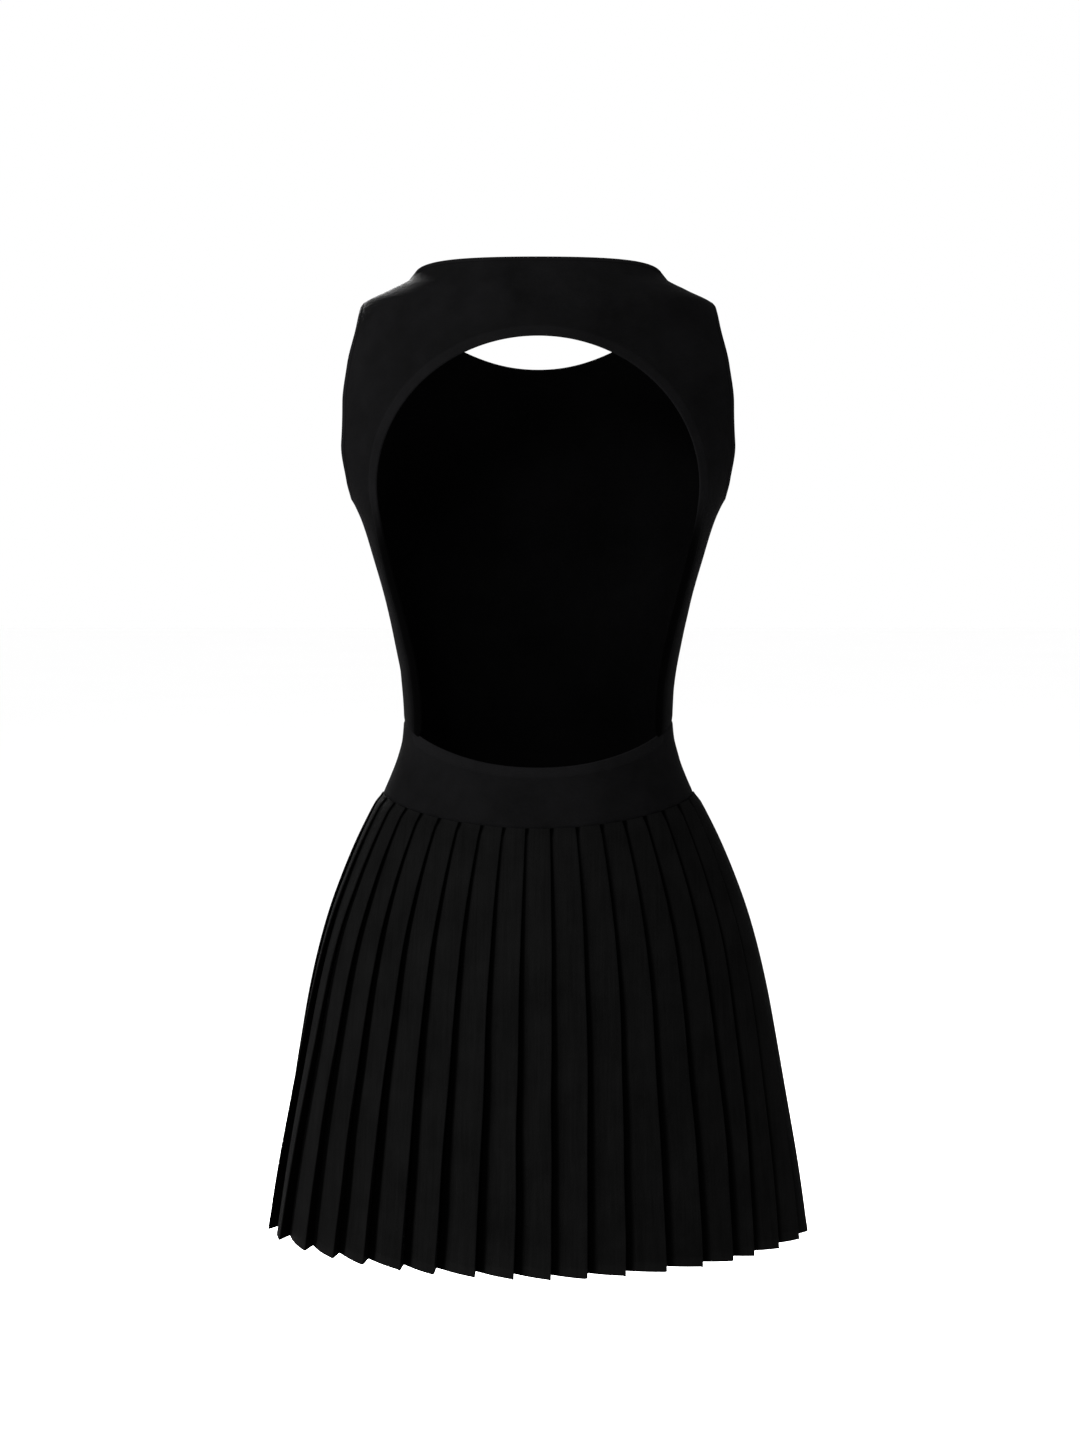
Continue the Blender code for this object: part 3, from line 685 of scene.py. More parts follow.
def bodice_shell(reach, height, front, seams, edges, creases, level_row):
    """Half grids of reach and height become the whole piece, with its relief.

    seams picks lines out of the whole grid of points, and edges pairs of a line and its edge.
    """
    side = 1.0 if front else -1.0
    angle = angle_of_reach(reach, height, front)
    x, y = bodice_points(angle, height, front)
    sewn = (reach == 0.0) & ~((height > UNDERARM_HEIGHT) & (height < SHOULDER_END_HEIGHT))
    normals = bodice_normals(x, y, height, front, sewn, level_row)
    centre = reach == 1.0
    x = np.where(centre, 0.0, x)
    normals[centre, 0] = 0.0
    normals[..., 0] *= side
    base = mirrored(np.stack((side * x, y, height), axis=-1), (-1.0, 1.0, 1.0))
    normals = mirrored(normals, (-1.0, 1.0, 1.0))
    u, v = cloth_distances(front)(angle, height)
    cloth_map = mirrored(np.stack((side * u, v), axis=-1), (-1.0, 1.0))

    relief = crease_relief(creases, cloth_map[..., 0], base[..., 2])
    turned, painted_shade, edge_relief = np.zeros((3,) + relief.shape)
    # Stitching along each turned edge gets painted shade, and on the back so do the strips' rolled
    # edges
    for line, edge in edges(base):
        rise, share, shade = turned_relief(distance_to(base, line), edge)
        edge_relief = np.where(np.abs(rise) > np.abs(edge_relief), rise, edge_relief)
        turned = np.maximum(turned, share)
        painted_shade = np.maximum(painted_shade, shade)
    if not front:
        rolled, shade = strip_roll(base)
        relief = relief - rolled
        painted_shade = np.maximum(painted_shade, shade)
    faces = knit_faces(base, normals, relief, edge_relief, sunk(base, seams(base)))
    return faces, cloth_map, {"turned": turned, "painted_shade": painted_shade}


def make_bodice_front(material):
    low = BAND_TOP + HALF_GAP
    edge_reach = np.linspace(0.0, FRONT_EDGE_REACH, FRONT_EDGE_STEPS, endpoint=False)
    rest = np.linspace(0.0, 1.0, FRONT_STEPS + 1) ** FRONT_CROWDING
    reaches = np.concatenate((edge_reach, between(FRONT_EDGE_REACH, 1.0, rest)))
    heights = np.append(side_heights(low), NECK_POINT_HEIGHT)
    share = (heights - low) / (NECK_POINT_HEIGHT - low)
    reach = np.broadcast_to(reaches, (len(heights), len(reaches))).copy()
    height = between(low, front_neckline(reach), share[:, None])
    level_row = np.zeros(reach.shape, dtype=bool)
    level_row[0] = True
    arm_low, arm_high = SIDE_STEPS, SIDE_STEPS + ARMHOLE_STEPS

    def seams(grid):
        return (grid[0], grid[:arm_low + 1, 0], grid[:arm_low + 1, -1],
                grid[arm_high:, 0], grid[arm_high:, -1])

    def edges(grid):
        return ((grid[-1], NECK_EDGE), (grid[arm_low:arm_high + 1, 0], ARMHOLE_EDGE),
                (grid[arm_low:arm_high + 1, -1], ARMHOLE_EDGE))

    faces, cloth_map, marks = bodice_shell(
        reach, height, True, seams, edges, FRONT_CREASES, level_row)
    free = np.zeros(cloth_map.shape[:2])
    free[-1, 1:-1] = 1.0
    free[arm_low + 1:arm_high, [0, -1]] = 1.0
    return cloth_shell("front_of_bodice", faces, free, cloth_map, marks, material)


def back_edges():
    """Matching places on the outer edge and on the open back's edge, waist to centre."""
    foot_reach = reach_of_width(np.array([WAIST_HALF_WIDTH]), np.array([BAND_TOP]))
    foot = float(foot_height(foot_reach)[0])
    outer_height = side_heights(float(foot_height(0.0)))
    neck_reach = np.linspace(0.0, 1.0, NECKLINE_STEPS + 1)
    outer_reach = np.concatenate((np.zeros(len(outer_height)), neck_reach))
    outer_height = np.concatenate((outer_height, back_neckline(neck_reach)))
    low_height = np.linspace(foot, ARCH_FOOT, SIDE_STEPS, endpoint=False)
    low_reach = reach_of_width(open_back_half_width(low_height), low_height)
    turn = np.linspace(0.0, math.pi / 2.0, len(outer_reach) - SIDE_STEPS)
    arch_height = between(ARCH_FOOT, ARCH_TOP, np.sin(turn))
    arch_reach = reach_of_width(ARCH_HALF_WIDTH * np.cos(turn), arch_height)
    arch_reach[-1] = 1.0
    inner_reach = np.concatenate((low_reach, arch_reach))
    inner_height = np.concatenate((low_height, arch_height))
    return outer_reach, outer_height, inner_reach, inner_height


def make_bodice_back(material):
    outer_reach, outer_height, inner_reach, inner_height = back_edges()
    share = np.linspace(0.0, 1.0, YOKE_STEPS + 1)
    crowded = share - YOKE_CROWDING * np.sin(2.0 * math.pi * share) / (2.0 * math.pi)
    left = (1.0 - crowded)[:, None]
    reach = between(outer_reach, inner_reach, left)
    drop = left ** between(HEIGHT_EASE, 1.0, outer_reach)
    height = between(outer_height, inner_height, drop)
    foot_reach = between(outer_reach[0], inner_reach[0], left)
    foot_shift = foot_height(foot_reach) - between(outer_height[0], inner_height[0], drop)
    fade = np.clip(1.0 - np.arange(len(outer_reach)) / SIDE_STEPS, 0.0, 1.0)
    height = height + foot_shift * fade
    level_row = np.zeros(reach.shape, dtype=bool)
    level_row[:, 0] = True
    arm_low, arm_high = SIDE_STEPS, SIDE_STEPS + ARMHOLE_STEPS
    neck = arm_high + SHOULDER_STEPS

    def both(grid, first, last):
        width = grid.shape[1]
        return grid[-1, first:last + 1], grid[-1, width - 1 - last:width - first]

    def seams(grid):
        return (grid[:, 0], grid[:, -1]) + both(grid, 0, arm_low) + both(grid, arm_high, neck)

    def edges(grid):
        left_arm, right_arm = both(grid, arm_low, arm_high)
        return ((grid[-1, neck:grid.shape[1] - neck], NECK_EDGE), (left_arm, ARMHOLE_EDGE),
                (right_arm, ARMHOLE_EDGE), (grid[0], OPEN_BACK_EDGE))

    faces, cloth_map, marks = bodice_shell(
        reach, height, False, seams, edges, BACK_CREASES, level_row)
    free = np.zeros(cloth_map.shape[:2])
    free[0, 1:-1] = 1.0
    free[-1, neck + 1:free.shape[1] - neck - 1] = 1.0
    for side in both(free, arm_low + 1, arm_high - 1):
        side[:] = 1.0
    return cloth_shell("back_of_bodice", faces, free, cloth_map, marks, material)


# ----- Waistband -----

def tucked(grid, ways):
    """Grid with more rows below its first, each that row moved by one of the ways."""
    return np.concatenate([(grid[0] + way)[None] for way in reversed(ways)] + [grid])


def make_waistband(name, first_angle, creases, material):
    back = first_angle < 0.0
    level = ((1.0 - np.cos(np.linspace(math.pi, 0.0, BAND_ROWS + 1))) / 2.0)[:, None]
    angle = np.broadcast_to(first_angle + np.linspace(0.0, math.pi, BAND_COLUMNS + 1),
                            (BAND_ROWS + 1, BAND_COLUMNS + 1))
    level = np.broadcast_to(level, angle.shape)
    x, y = plan_points(WAISTBAND_CURVES, level, angle)
    ends = np.zeros(angle.shape, dtype=bool)
    ends[:, [0, -1]] = True
    y = np.where(ends, math.copysign(HALF_GAP, first_angle + 0.5), y)
    height = between(band_top(angle) - HALF_GAP, pleat_seam(angle) + HALF_GAP, level)
    base = np.stack((x, y, height), axis=-1)
    normals = np.cross(np.gradient(base, axis=1), np.gradient(base, axis=0))
    normals /= np.linalg.norm(normals, axis=-1, keepdims=True)
    normals[ends, 1] = 0.0
    normals[[0, -1], :, 2] = 0.0
    normals /= np.linalg.norm(normals, axis=-1, keepdims=True)

    run = np.linalg.norm(np.diff(base, axis=1), axis=-1)
    u = np.concatenate((np.zeros((BAND_ROWS + 1, 1)), np.cumsum(run, axis=1)), axis=1)
    u -= u[:, BAND_COLUMNS // 2][:, None]
    relief = crease_relief(creases, u if back else -u, height)
    top = base[-1]
    open_top = back & (np.abs(top[:, 0]) < WAIST_HALF_WIDTH)
    turned, painted_shade, edge_relief = np.zeros((3,) + relief.shape)
    seams = [base[0], base[:, 0], base[:, -1]]
    if back:
        distance = distance_to(base, top[open_top])
        edge_relief, turned, painted_shade = turned_relief(distance, OPEN_BACK_EDGE)
        seams += [top[top[:, 0] < -WAIST_HALF_WIDTH], top[top[:, 0] > WAIST_HALF_WIDTH]]
    else:
        seams.append(top)
    faces = knit_faces(base, normals, relief, edge_relief, sunk(base, seams))
    free = np.zeros(relief.shape)
    free[-1] = open_top

    down = np.array([0.0, 0.0, -1.0])
    faces = [tucked(face, [drop * down - inward * normals[0] for inward, drop in FOOT_TUCK])
             for face in faces]
    drops = [np.array([0.0, -drop]) for _, drop in FOOT_TUCK]
    cloth_map = tucked(np.stack((u, height), axis=-1), drops)
    none = [0.0] * len(FOOT_TUCK)
    free, turned, painted_shade = tucked(free, none), tucked(turned, none), tucked(painted_shade, none)
    # The foot tucked behind the pleats is given full painted shade
    painted_shade[:len(FOOT_TUCK)] = 1.0
    return cloth_shell(name, faces, free, cloth_map, {"turned": turned, "painted_shade": painted_shade}, material)


# ----- Pleated skirt -----

def pleat_shape(pitch, returned, opening):
    """Width and slope of a pleat's face, for its pitch, its return and how far that opens."""
    slope = np.zeros(np.shape(pitch))
    for _ in range(TURN_ROUNDS):
        fold = (slope + opening - math.pi) / 2.0
        rise = returned * np.sin(opening) - 2.0 * FOLD_WIDTH * np.sin(fold)
        run = pitch + returned * np.cos(opening) - 2.0 * FOLD_WIDTH * np.cos(fold)
        slope = np.arctan2(rise, run)
    return np.hypot(rise, run), slope


def fold_arc(start_turn, end_turn, share):
    """Point on a fold's arc from (0, 0), as the heading turns from one angle to another."""
    radius = FOLD_WIDTH / (2.0 * np.abs(np.sin((end_turn - start_turn) / 2.0)))
    way = np.sign(end_turn - start_turn)
    heading = between(start_turn, end_turn, share)
    return (way * radius * (np.sin(heading) - np.sin(start_turn)),
            way * radius * (np.cos(start_turn) - np.cos(heading)))


def ridge_shares():
    """Places of the ridges round the seam and the hem, as shares of the way round."""
    lengths = [ring_tables(np.array([level]))[0][0, -1] for level in (0.0, 1.0)]
    shares = []
    for length, column in zip(lengths, ("seam", "hem")):
        places = [getattr(fold, column) / length for fold in BACK_FOLDS]
        gaps = PLEATS - len(places) + 1
        step = (1.0 + places[0] - places[-1]) / gaps
        places += [places[-1] + step * count for count in range(1, gaps)]
        shares.append(np.array(places))
    return shares


def ring_tables(levels):
    """Distances, points, normals and angles round the rings at the levels."""
    angle = -math.pi / 2.0 + np.linspace(0.0, 2.0 * math.pi, RING_SAMPLES + 1)
    level = levels[:, None]
    x, y = plan_points(SKIRT_CURVES, level, angle[None, :])
    run = np.hypot(np.diff(x, axis=1), np.diff(y, axis=1))
    distances = np.concatenate((np.zeros((len(levels), 1)), np.cumsum(run, axis=1)), axis=1)
    way_x = (np.roll(x[:, :-1], -1, axis=1) - np.roll(x[:, :-1], 1, axis=1))
    way_y = (np.roll(y[:, :-1], -1, axis=1) - np.roll(y[:, :-1], 1, axis=1))
    size = np.hypot(way_x, way_y)
    normal_x = np.concatenate((way_y / size, way_y[:, :1] / size[:, :1]), axis=1)
    normal_y = np.concatenate((-way_x / size, -way_x[:, :1] / size[:, :1]), axis=1)
    return distances, x, y, normal_x, normal_y, angle


def skirt_levels():
    return np.concatenate((
        np.linspace(0.0, SKIRT_TOP_SHARE, SKIRT_TOP_STEPS, endpoint=False),
        np.linspace(SKIRT_TOP_SHARE, SKIRT_HEM_SHARE, SKIRT_STEPS, endpoint=False),
        np.linspace(SKIRT_HEM_SHARE, 1.0, SKIRT_HEM_STEPS + 1),
    ))


def slow_waves(generator, count, level):
    """A soft wave down each pleat, of about 1 in height, different for each."""
    wave = np.zeros((len(level), count))
    for cycles, size in SLOW_WAVES:
        phase = generator.uniform(0.0, 2.0 * math.pi, count)
        stretch = generator.uniform(0.8, 1.25, count)
        wave += size * np.sin(2.0 * math.pi * cycles * stretch * level[:, None] + phase)
    return wave


def pleat_columns():
    """Names and shares of the columns of one pleat, from its ridge to the next."""
    columns = [("ridge", step / FOLD_STEPS) for step in range(FOLD_STEPS + 1)]
    columns += [("return", step / RETURN_STEPS) for step in range(1, RETURN_STEPS)]
    columns += [("valley", step / FOLD_STEPS) for step in range(FOLD_STEPS + 1)]
    columns += [("face", share) for share in FACE_SHARES]
    return columns


def pleat_lines(levels, pitch, generator):
    """Lines across each pleat at each level, the pleat's ridge being at (0, 0).

    They are the distance along the ring and out of it, the cloth used up from the ridge, the
    hem's slant for each column, and all the cloth in a pleat.
    """
    opened = levels[:, None] ** OPENING_POWER
    opening = np.radians(between(OPENING_SEAM, OPENING_HEM, opened))
    returned = between(RETURN_SEAM, RETURN_HEM, levels)[:, None]
    face, slope = pleat_shape(pitch, returned, opening)
    back_turn = opening - math.pi
    bow = FACE_BOW * between(BOW_AT_SEAM, 1.0, soft_step(levels * BOW_GROWTH))[:, None] \
        * (1.0 + BOW_UNEVENNESS * slow_waves(generator, PLEATS, levels))
    wave = FACE_WAVE * slow_waves(generator, PLEATS, levels) \
        * soft_step(levels * WAVE_GROWTH)[:, None]
    ease = CLOSED_EASE * np.clip(1.0 - CLOSED_FALL * opened, 0.0, 1.0)
    run_x, run_y = fold_arc(slope, back_turn, 1.0)
    under_x = run_x - returned * np.cos(opening)
    under_y = run_y - returned * np.sin(opening)
    valley_x, valley_y = under_x + run_x, under_y + run_y

    alongs, offsets, cloth, slants = [], [], [], []
    for part, share in pleat_columns():
        if part == "ridge":
            along, offset = fold_arc(slope, back_turn, share)
            used, slant = FOLD_WIDTH * share, 0.5
        elif part == "return":
            along, offset = between(run_x, under_x, share), between(run_y, under_y, share)
            used, slant = FOLD_WIDTH + returned * share, 0.5 - share
        elif part == "valley":
            step_x, step_y = fold_arc(back_turn, slope, share)
            along, offset = under_x + step_x, under_y + step_y
            used, slant = FOLD_WIDTH * (1.0 + share) + returned, -0.5
        else:
            swell = math.sin(math.pi * share)
            along = between(valley_x, pitch, share)
            offset = valley_y * (1.0 - share) - ease * math.sin(2.0 * math.pi * share)
            offset = offset + bow * swell ** BOW_POWER * (0.4 + share)
            offset = offset + wave * swell * math.cos(WAVE_TURN * share)
            used, slant = 2.0 * FOLD_WIDTH + returned + face * share, share - 0.5
        alongs.append(along)
        offsets.append(offset)
        cloth.append(np.broadcast_to(used, pitch.shape))
        slants.append(slant)
    along, offset, cloth = (np.stack(lines, axis=-1) for lines in (alongs, offsets, cloth))
    return along, offset, cloth, np.array(slants), face + returned + 2.0 * FOLD_WIDTH


def painted_pleat_shade(along, offset):
    """Painted shade between the pleats, from 0 to 1, standing in for each ridge's cast shadow and
    for the dark returns and valleys.
    """
    faces = len(FACE_SHARES)
    under_ridge = np.array([np.interp(0.0, line, depth) for line, depth in zip(
        along[..., -faces:].reshape(-1, faces), -offset[..., -faces:].reshape(-1, faces))])
    shade_width = LEAST_SHADE + SHADE_DEPTHS * under_ridge.reshape(along.shape[:2])
    # Some pleats get a wider painted shade than others
    shade_width = shade_width * np.interp(np.arange(PLEATS), *zip(*SHADE_REACHES))
    painted_shade = np.clip(SHADE_START - SHADE_FALL * along / shade_width[..., None], 0.0, 1.0)
    parts = np.array([part for part, _ in pleat_columns()])
    painted_shade[..., (parts == "return") | (parts == "valley")] = 1.0
    painted_shade[..., parts == "ridge"] = np.linspace(0.0, 1.0, FOLD_STEPS + 1) ** 2
    return painted_shade


def skirt_lines():
    """Middle of the cloth all round, as points for each level, pleat and column."""
    levels = skirt_levels()
    generator = np.random.default_rng(SEED)
    seam_shares, hem_shares = ridge_shares()
    distances, x, y, normal_x, normal_y, angle = ring_tables(levels)
    length = distances[:, -1][:, None]
    sway = slow_waves(generator, PLEATS, levels) * RIDGE_SWAY
    sway *= (soft_step(levels * SWAY_GROWTH) * between(SWAY_AT_SEAM, 1.0, levels))[:, None]
    place = length * between(seam_shares, hem_shares, levels[:, None]) + sway
    pitch = np.diff(np.concatenate((place, place[:, :1] + length), axis=1), axis=1)
    along, offset, cloth, slants, cloth_length = pleat_lines(levels, pitch, generator)
    sink = TUCK * np.exp(-((levels * (PLEAT_SEAM - HEM)) / TUCK_HEIGHT) ** 2)
    offset = offset - sink[:, None, None]
    distance = place[:, :, None] + along
    cloth_u = (np.cumsum(cloth_length, axis=1) - cloth_length)[:, :, None] + cloth
    hem_lift = generator.uniform(-1.0, 1.0, PLEATS) * HEM_SWAY

    points = np.empty(along.shape + (3,))
    for row in range(len(levels)):
        wrapped = np.mod(distance[row], distances[row, -1])
        ring_x, ring_y, out_x, out_y = (np.interp(wrapped, distances[row], table[row])
                                        for table in (x, y, normal_x, normal_y))
        points[row, ..., 0] = ring_x + offset[row] * out_x
        points[row, ..., 1] = ring_y + offset[row] * out_y
        turn = np.interp(wrapped, distances[row], angle)
        foot = HEM + hem_lift[:, None] * (0.5 + 0.5 * np.sin(turn * 3.0)) - HEM_SLANT * slants
        points[row, ..., 2] = between(pleat_seam(turn) - HALF_GAP, foot, levels[row])
    return levels, points, painted_pleat_shade(along, offset), cloth_u, cloth_length.sum(axis=1)


def make_skirt(name, first_pleat, lines, material):
    """Half of the skirt, from the seam in one hidden return to that in another."""
    levels, points, shade, cloth_u, cloth_around = lines
    columns = len(pleat_columns())
    half_return = FOLD_STEPS + RETURN_STEPS // 2
    order = [((first_pleat + index // columns) % PLEATS, index % columns)
             for index in range(half_return, half_return + PLEATS // 2 * columns + 1)]
    line = np.stack([points[:, pleat, column] for pleat, column in order], axis=1)
    u = np.stack([cloth_u[:, pleat, column] for pleat, column in order], axis=1)
    u[:, 1:] = np.cumsum(np.mod(np.diff(u, axis=1), cloth_around[:, None]), axis=1)
    u[:, 0] = 0.0
    u -= u[:, u.shape[1] // 2][:, None]
    # Painted shade of the pleats, column by column for this half
    painted_shade = np.stack([shade[:, pleat, column] for pleat, column in order], axis=1)
    line, painted_shade, u, level = line[::-1], painted_shade[::-1], u[::-1], levels[::-1]

    way = np.diff(line[..., :2], axis=1)
    way /= np.linalg.norm(way, axis=-1, keepdims=True)
    before = np.concatenate((way[:, :1], way), axis=1)
    after = np.concatenate((way, way[:, -1:]), axis=1)
    mitre = np.stack((before[..., 1] + after[..., 1], -before[..., 0] - after[..., 0]), axis=-1)
    mitre /= 1.0 + (before * after).sum(axis=-1, keepdims=True)
    gap = HALF_GAP * np.stack((before[:, 0], -after[:, -1]), axis=1)
    line[:, 0, :2] += gap[:, 0]
    line[:, -1, :2] += gap[:, 1]

    rise = (1.0 - level) * (PLEAT_SEAM - HEM)
    turned = 1.0 - soft_step((rise - HEM_TURN) / TURN_SOFTNESS)
    stitch = np.exp(-((rise - HEM_TURN) / STITCH_WIDTH) ** 2)
    half = (PLEAT_THICKNESS / 2.0 + HEM_PROUD * turned - HEM_STITCH * stitch)[:, None, None]
    faces = line.copy(), line.copy()
    faces[0][..., :2] += mitre * half
    faces[1][..., :2] -= mitre * half
    v = np.broadcast_to((-level * (PLEAT_SEAM - HEM))[:, None], line.shape[:2])
    cloth_map = np.stack((u, v), axis=-1)
    free = np.zeros(line.shape[:2])
    free[0] = 1.0
    marks = {"turned": np.broadcast_to(turned[:, None], line.shape[:2]), "painted_shade": painted_shade}
    return cloth_shell(name, faces, free, cloth_map, marks, material)


# ----- Cloths -----

class Nodes:
    """A new material, whose nodes are each placed after the one before."""

    def __init__(self, name):
        self.material = bpy.data.materials.new(name)
        self.material.use_nodes = True
        self.tree = self.material.node_tree
        self.shader = self.tree.nodes["Principled BSDF"]
        self.count = 0
        self.place = self.add("ShaderNodeTexCoord").outputs["Object"]

    def add(self, kind, values=(), **settings):
        node = self.tree.nodes.new(kind)
        node.location = (-1900 + 190 * (self.count % 9), 500 - 230 * (self.count // 9))
        self.count += 1
        for name, value in settings.items():
            setattr(node, name, value)
        for socket, value in dict(values).items():
            self.put(node.inputs[socket], value)
        return node

    def put(self, socket, value):
        if isinstance(value, bpy.types.NodeSocket):
            self.tree.links.new(value, socket)
        else:
            socket.default_value = value

    def surface(self, values):
        for socket, value in values.items():
            self.put(self.shader.inputs[socket], value)
        return self.material

    def math(self, operation, first, second=0.0, third=0.0):
        values = {0: first, 1: second, 2: third}
        return self.add("ShaderNodeMath", values, operation=operation).outputs[0]

    def total(self, first, *others):
        for other in others:
            first = self.math("ADD", first, other)
        return first

    def wave(self, turns):
        return self.math("SINE", self.math("MULTIPLY", turns, 2.0 * math.pi))

    def noise(self, vector, scale, detail):
        node = self.add("ShaderNodeTexNoise", {"Vector": vector, "Scale": scale,
                                               "Detail": detail, "Roughness": 0.55})
        return node.outputs["Fac"]

    def cloth(self, along_u, along_v):
        """Place on the cloth, scaled, so that it counts yarns or stitches."""
        place = self.add("ShaderNodeUVMap", uv_map="cloth").outputs["UV"]
        node = self.add("ShaderNodeVectorMath", {0: place, 1: (along_u, along_v, 1.0)},
                        operation="MULTIPLY")
        return node.outputs[0]

    def cloth_parts(self, along_u, along_v):
        node = self.add("ShaderNodeSeparateXYZ", {0: self.cloth(along_u, along_v)})
        return node.outputs[0], node.outputs[1]

    def ramp(self, value, low, high):
        """Value from 0 to 1 turned into one from low to high."""
        return self.math("MULTIPLY_ADD", value, high - low, low)

    def colour(self, share, dark, pale):
        node = self.add("ShaderNodeMix", {0: share, 6: dark, 7: pale}, data_type="RGBA")
        return node.outputs[2]

    def mark(self, name):
        return self.add("ShaderNodeAttribute", attribute_name=name).outputs["Fac"]

    def shaded(self, colour):
        """Painted shade: darker where the painted-shade mark is set, and somewhat darker on the
        wrong side, which is painted shade for the inside.
        """
        painted_shade = self.add("ShaderNodeMapRange", {0: self.mark("painted_shade")},
                          interpolation_type="SMOOTHSTEP").outputs[0]
        inside = self.math("MULTIPLY", self.mark("inside"), INSIDE_PAINTED_SHADE)
        dark = self.math("MAXIMUM", self.math("MULTIPLY", painted_shade, HOLLOW_PAINTED_SHADE), inside)
        return self.colour(dark, colour, (0.0, 0.0, 0.0, 1.0))

    def bump(self, strength, distance, height):
        node = self.add("ShaderNodeBump", {"Strength": strength, "Distance": distance,
                                           "Height": height})
        return node.outputs[0]


# Strength of the painted shade where the mark is set and on the wrong side
HOLLOW_PAINTED_SHADE = 0.93
INSIDE_PAINTED_SHADE = 0.7
CLOTH_GLEAM = {"Specular IOR Level": 0.0015, "Sheen Weight": 0.002}


def knit_material(name):
    """Fine black jersey: small knitted stitches, soft sheen, faintly uneven colour, a painted
    highlight on the turned edges, and painted shade.
    """
    nodes = Nodes(name)
    across, up = nodes.cloth_parts(1050.0, 1300.0)
    leg = nodes.math("PINGPONG", across, 0.5)
    stitch = nodes.wave(nodes.total(up, nodes.math("MULTIPLY", leg, 1.2)))
    relief = nodes.total(nodes.math("MULTIPLY", nodes.wave(leg), 0.6),
                         nodes.math("MULTIPLY", stitch, 0.4))
    fuzz = nodes.noise(nodes.place, 900.0, 3.0)
    cloud = nodes.noise(nodes.place, 15.0, 3.0)
    mottle = nodes.noise(nodes.place, 75.0, 4.0)
    # The turned edges are painted lighter, a painted highlight; the rest is random tone and the
    # stitches
    shade = nodes.total(
        nodes.ramp(cloud, -0.4, 1.2), nodes.ramp(fuzz, -0.15, 0.25), nodes.ramp(mottle, -0.3, 0.3),
        nodes.ramp(stitch, 0.0, 0.06), nodes.ramp(nodes.mark("turned"), 0.0, 0.3))
    colour = nodes.colour(shade, (0.0009, 0.0009, 0.00093, 1.0), (0.0021, 0.00206, 0.0022, 1.0))
    height = nodes.total(relief, nodes.ramp(fuzz, 0.0, 0.5))
    return nodes.surface({
        "Base Color": nodes.shaded(colour), "Roughness": nodes.ramp(cloud, 0.55, 0.7),
        "Normal": nodes.bump(0.35, 0.0002, height), **CLOTH_GLEAM,
        "Sheen Roughness": 0.45, "Sheen Tint": (0.8, 0.8, 0.85, 1.0)})


def pleated_material(name):
    """Fine black woven cloth, its yarns running down the pleats, lighter along the turned hem, with
    painted shade.
    """
    nodes = Nodes(name)
    yarns = nodes.noise(nodes.cloth(620.0, 22.0), 1.0, 3.0)
    broad = nodes.noise(nodes.cloth(160.0, 12.0), 1.0, 2.0)
    cloud = nodes.noise(nodes.place, 30.0, 4.0)
    warp, weft = nodes.cloth_parts(2100.0, 1700.0)
    weave = nodes.math("MULTIPLY", nodes.wave(warp), nodes.wave(weft))
    # The turned hem is made lighter; the rest is random tone of the yarns
    shade = nodes.total(
        nodes.ramp(yarns, -0.25, 0.45), nodes.ramp(cloud, -0.25, 0.75),
        nodes.ramp(broad, -0.1, 0.3), nodes.ramp(nodes.mark("turned"), 0.0, 0.2))
    colour = nodes.colour(shade, (0.0007, 0.0007, 0.0007, 1.0), (0.0019, 0.0019, 0.0019, 1.0))
    height = nodes.total(nodes.math("MULTIPLY", weave, 0.35), nodes.ramp(yarns, 0.0, 1.4))
    return nodes.surface({
        "Base Color": nodes.shaded(colour), "Roughness": nodes.ramp(yarns, 0.52, 0.68),
        "Normal": nodes.bump(0.4, 0.00018, height), **CLOTH_GLEAM,
        "Sheen Roughness": 0.4, "Sheen Tint": (0.85, 0.85, 0.88, 1.0)})


def floor_material():
    nodes = Nodes("pale_floor")
    shade = nodes.noise(nodes.place, 0.7, 2.0)
    colour = nodes.colour(shade, (0.985, 0.985, 0.985, 1.0), (1.0, 1.0, 1.0, 1.0))
    return nodes.surface({"Base Color": colour, "Roughness": 0.9, "Specular IOR Level": 0.2})


# ----- Studio -----

FLOOR_HEIGHT = -1.35
CAMERA_PLACE = (0.0014, -2.0, -0.2121)
CAMERA_TILT = 3.66
CAMERA_LENS = 62.5

FLOOR_REACH = 40.0
FLOOR_STEPS = 8

Lamp = namedtuple("Lamp", "name place size power")
LAMP_AIM = (0.0, 0.0, -0.3)
LAMPS = (
    Lamp("key", (-0.75, -2.8, 1.0), 0.5, 160.0),
    Lamp("left", (-2.7, -0.9, 1.3), 1.2, 255.0),
    Lamp("front", (-0.9, 3.0, 1.1), 1.4, 260.0),
)


def make_camera():
    data = bpy.data.cameras.new("camera")
    data.lens = CAMERA_LENS
    data.dof.use_dof = False
    camera = bpy.data.objects.new("camera", data)
    camera.location = CAMERA_PLACE
    camera.rotation_euler = (math.radians(90.0 - CAMERA_TILT), 0.0, 0.0)
    bpy.context.scene.collection.objects.link(camera)
    bpy.context.scene.camera = camera


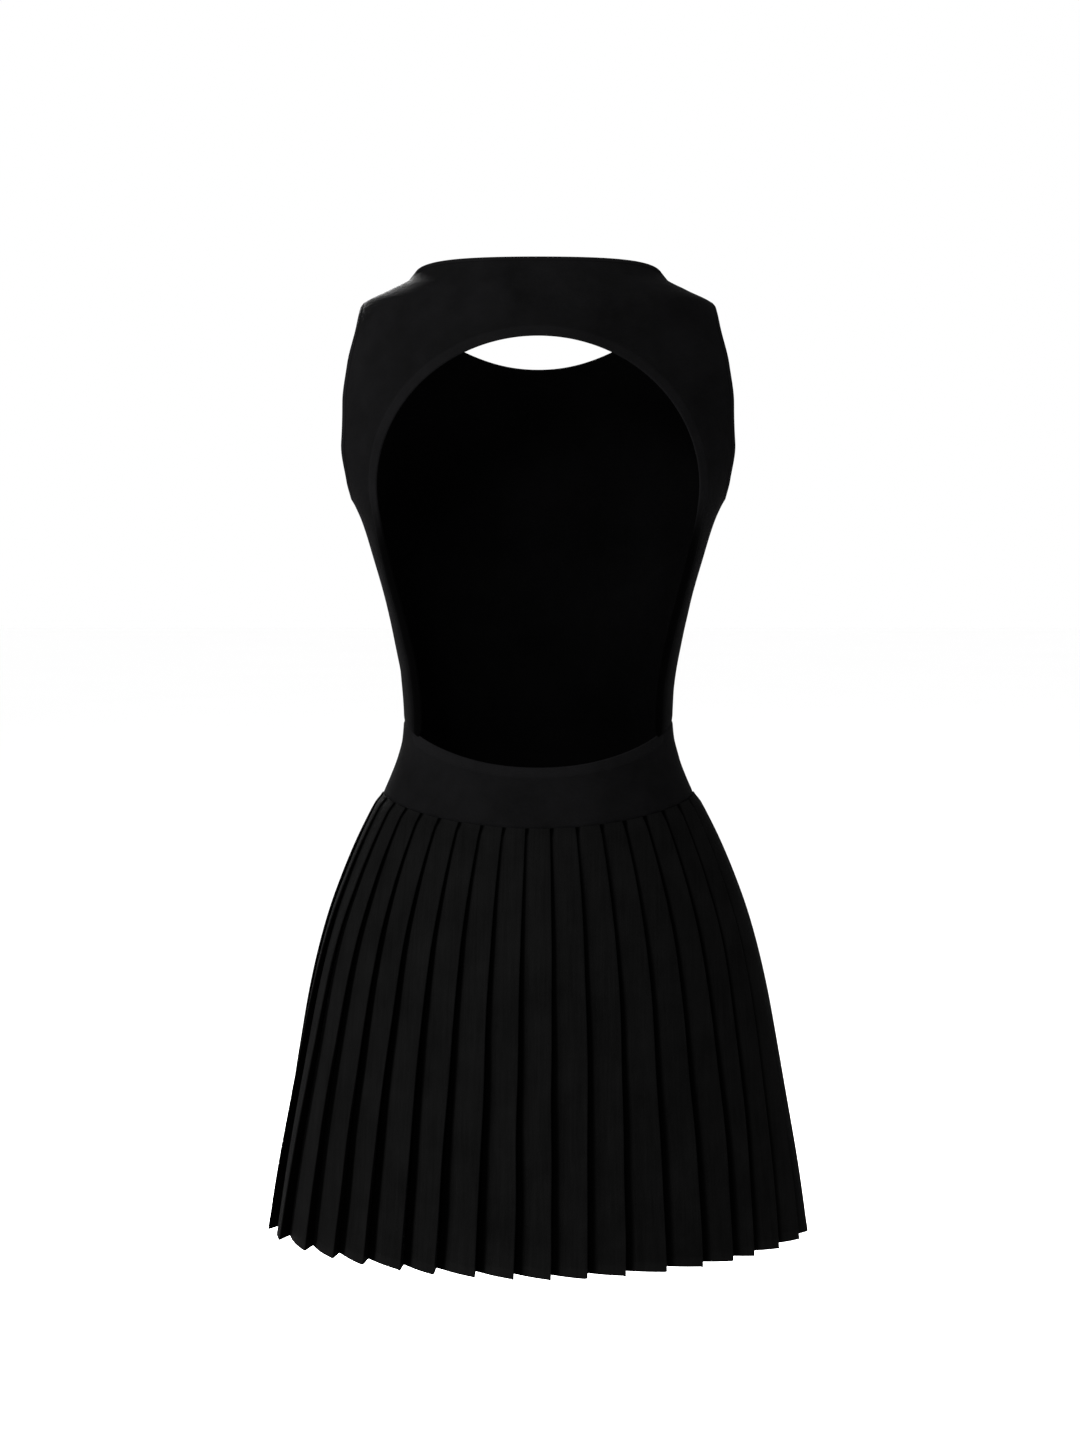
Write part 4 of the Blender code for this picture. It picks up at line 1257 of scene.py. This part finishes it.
def make_lamps():
    for lamp in LAMPS:
        data = bpy.data.lights.new(lamp.name, "AREA")
        data.shape = "SQUARE"
        data.size = lamp.size
        data.energy = lamp.power
        light = bpy.data.objects.new(lamp.name, data)
        light.location = lamp.place
        aim = Vector(LAMP_AIM) - Vector(lamp.place)
        light.rotation_euler = aim.to_track_quat("-Z", "Y").to_euler()
        bpy.context.scene.collection.objects.link(light)


def make_world():
    world = bpy.data.worlds.new("studio")
    world.use_nodes = True
    background = world.node_tree.nodes["Background"]
    background.inputs["Color"].default_value = (1.0, 1.0, 1.0, 1.0)
    background.inputs["Strength"].default_value = 1.0
    bpy.context.scene.world = world
    bpy.context.scene.view_settings.view_transform = "Standard"


def make_floor():
    mesh = bpy.data.meshes.new("floor")
    ticks = np.linspace(-FLOOR_REACH, FLOOR_REACH, FLOOR_STEPS + 1)
    vertices = [(x, y, FLOOR_HEIGHT) for y in ticks for x in ticks]
    lows = [row * len(ticks) + column for row in range(FLOOR_STEPS) for column in range(FLOOR_STEPS)]
    mesh.from_pydata(vertices, [], [(low, low + 1, low + len(ticks) + 1, low + len(ticks))
                                    for low in lows])
    mesh.materials.append(floor_material())
    floor = bpy.data.objects.new("floor", mesh)
    bpy.context.scene.collection.objects.link(floor)


# ----- The dress -----

# Fields of a piece's flat cut: its widest and longest, and its area in square metres. No piece is
# given one here.
Cut = namedtuple("Cut", "width length area held")


# The pleats that the seams of each half of the skirt start in, counted round from the back's left
BACK_FIRST_PLEAT = 37
FRONT_FIRST_PLEAT = 18


def finish_piece(piece, node):
    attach(piece, "root")
    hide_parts(node)


def main():
    make_camera()
    make_world()
    make_lamps()
    make_floor()
    knit = knit_material("bodice_knit_cloth")
    pleated = pleated_material("pleated_black_cloth")
    finish_piece(make_bodice_front(knit), "bodice_front")
    finish_piece(make_bodice_back(knit), "bodice_back")
    for name, first_angle, creases, node in (
            ("front_of_waistband", 0.0, BAND_FRONT_CREASES, "waistband_front"),
            ("back_of_waistband", -math.pi, BAND_BACK_CREASES, "waistband_back")):
        finish_piece(make_waistband(name, first_angle, creases, knit), node)
    lines = skirt_lines()
    for name, first_pleat, node in (("back_of_skirt", BACK_FIRST_PLEAT, "skirt_back"),
                                    ("front_of_skirt", FRONT_FIRST_PLEAT, "skirt_front")):
        finish_piece(make_skirt(name, first_pleat, lines, pleated), node)


main()
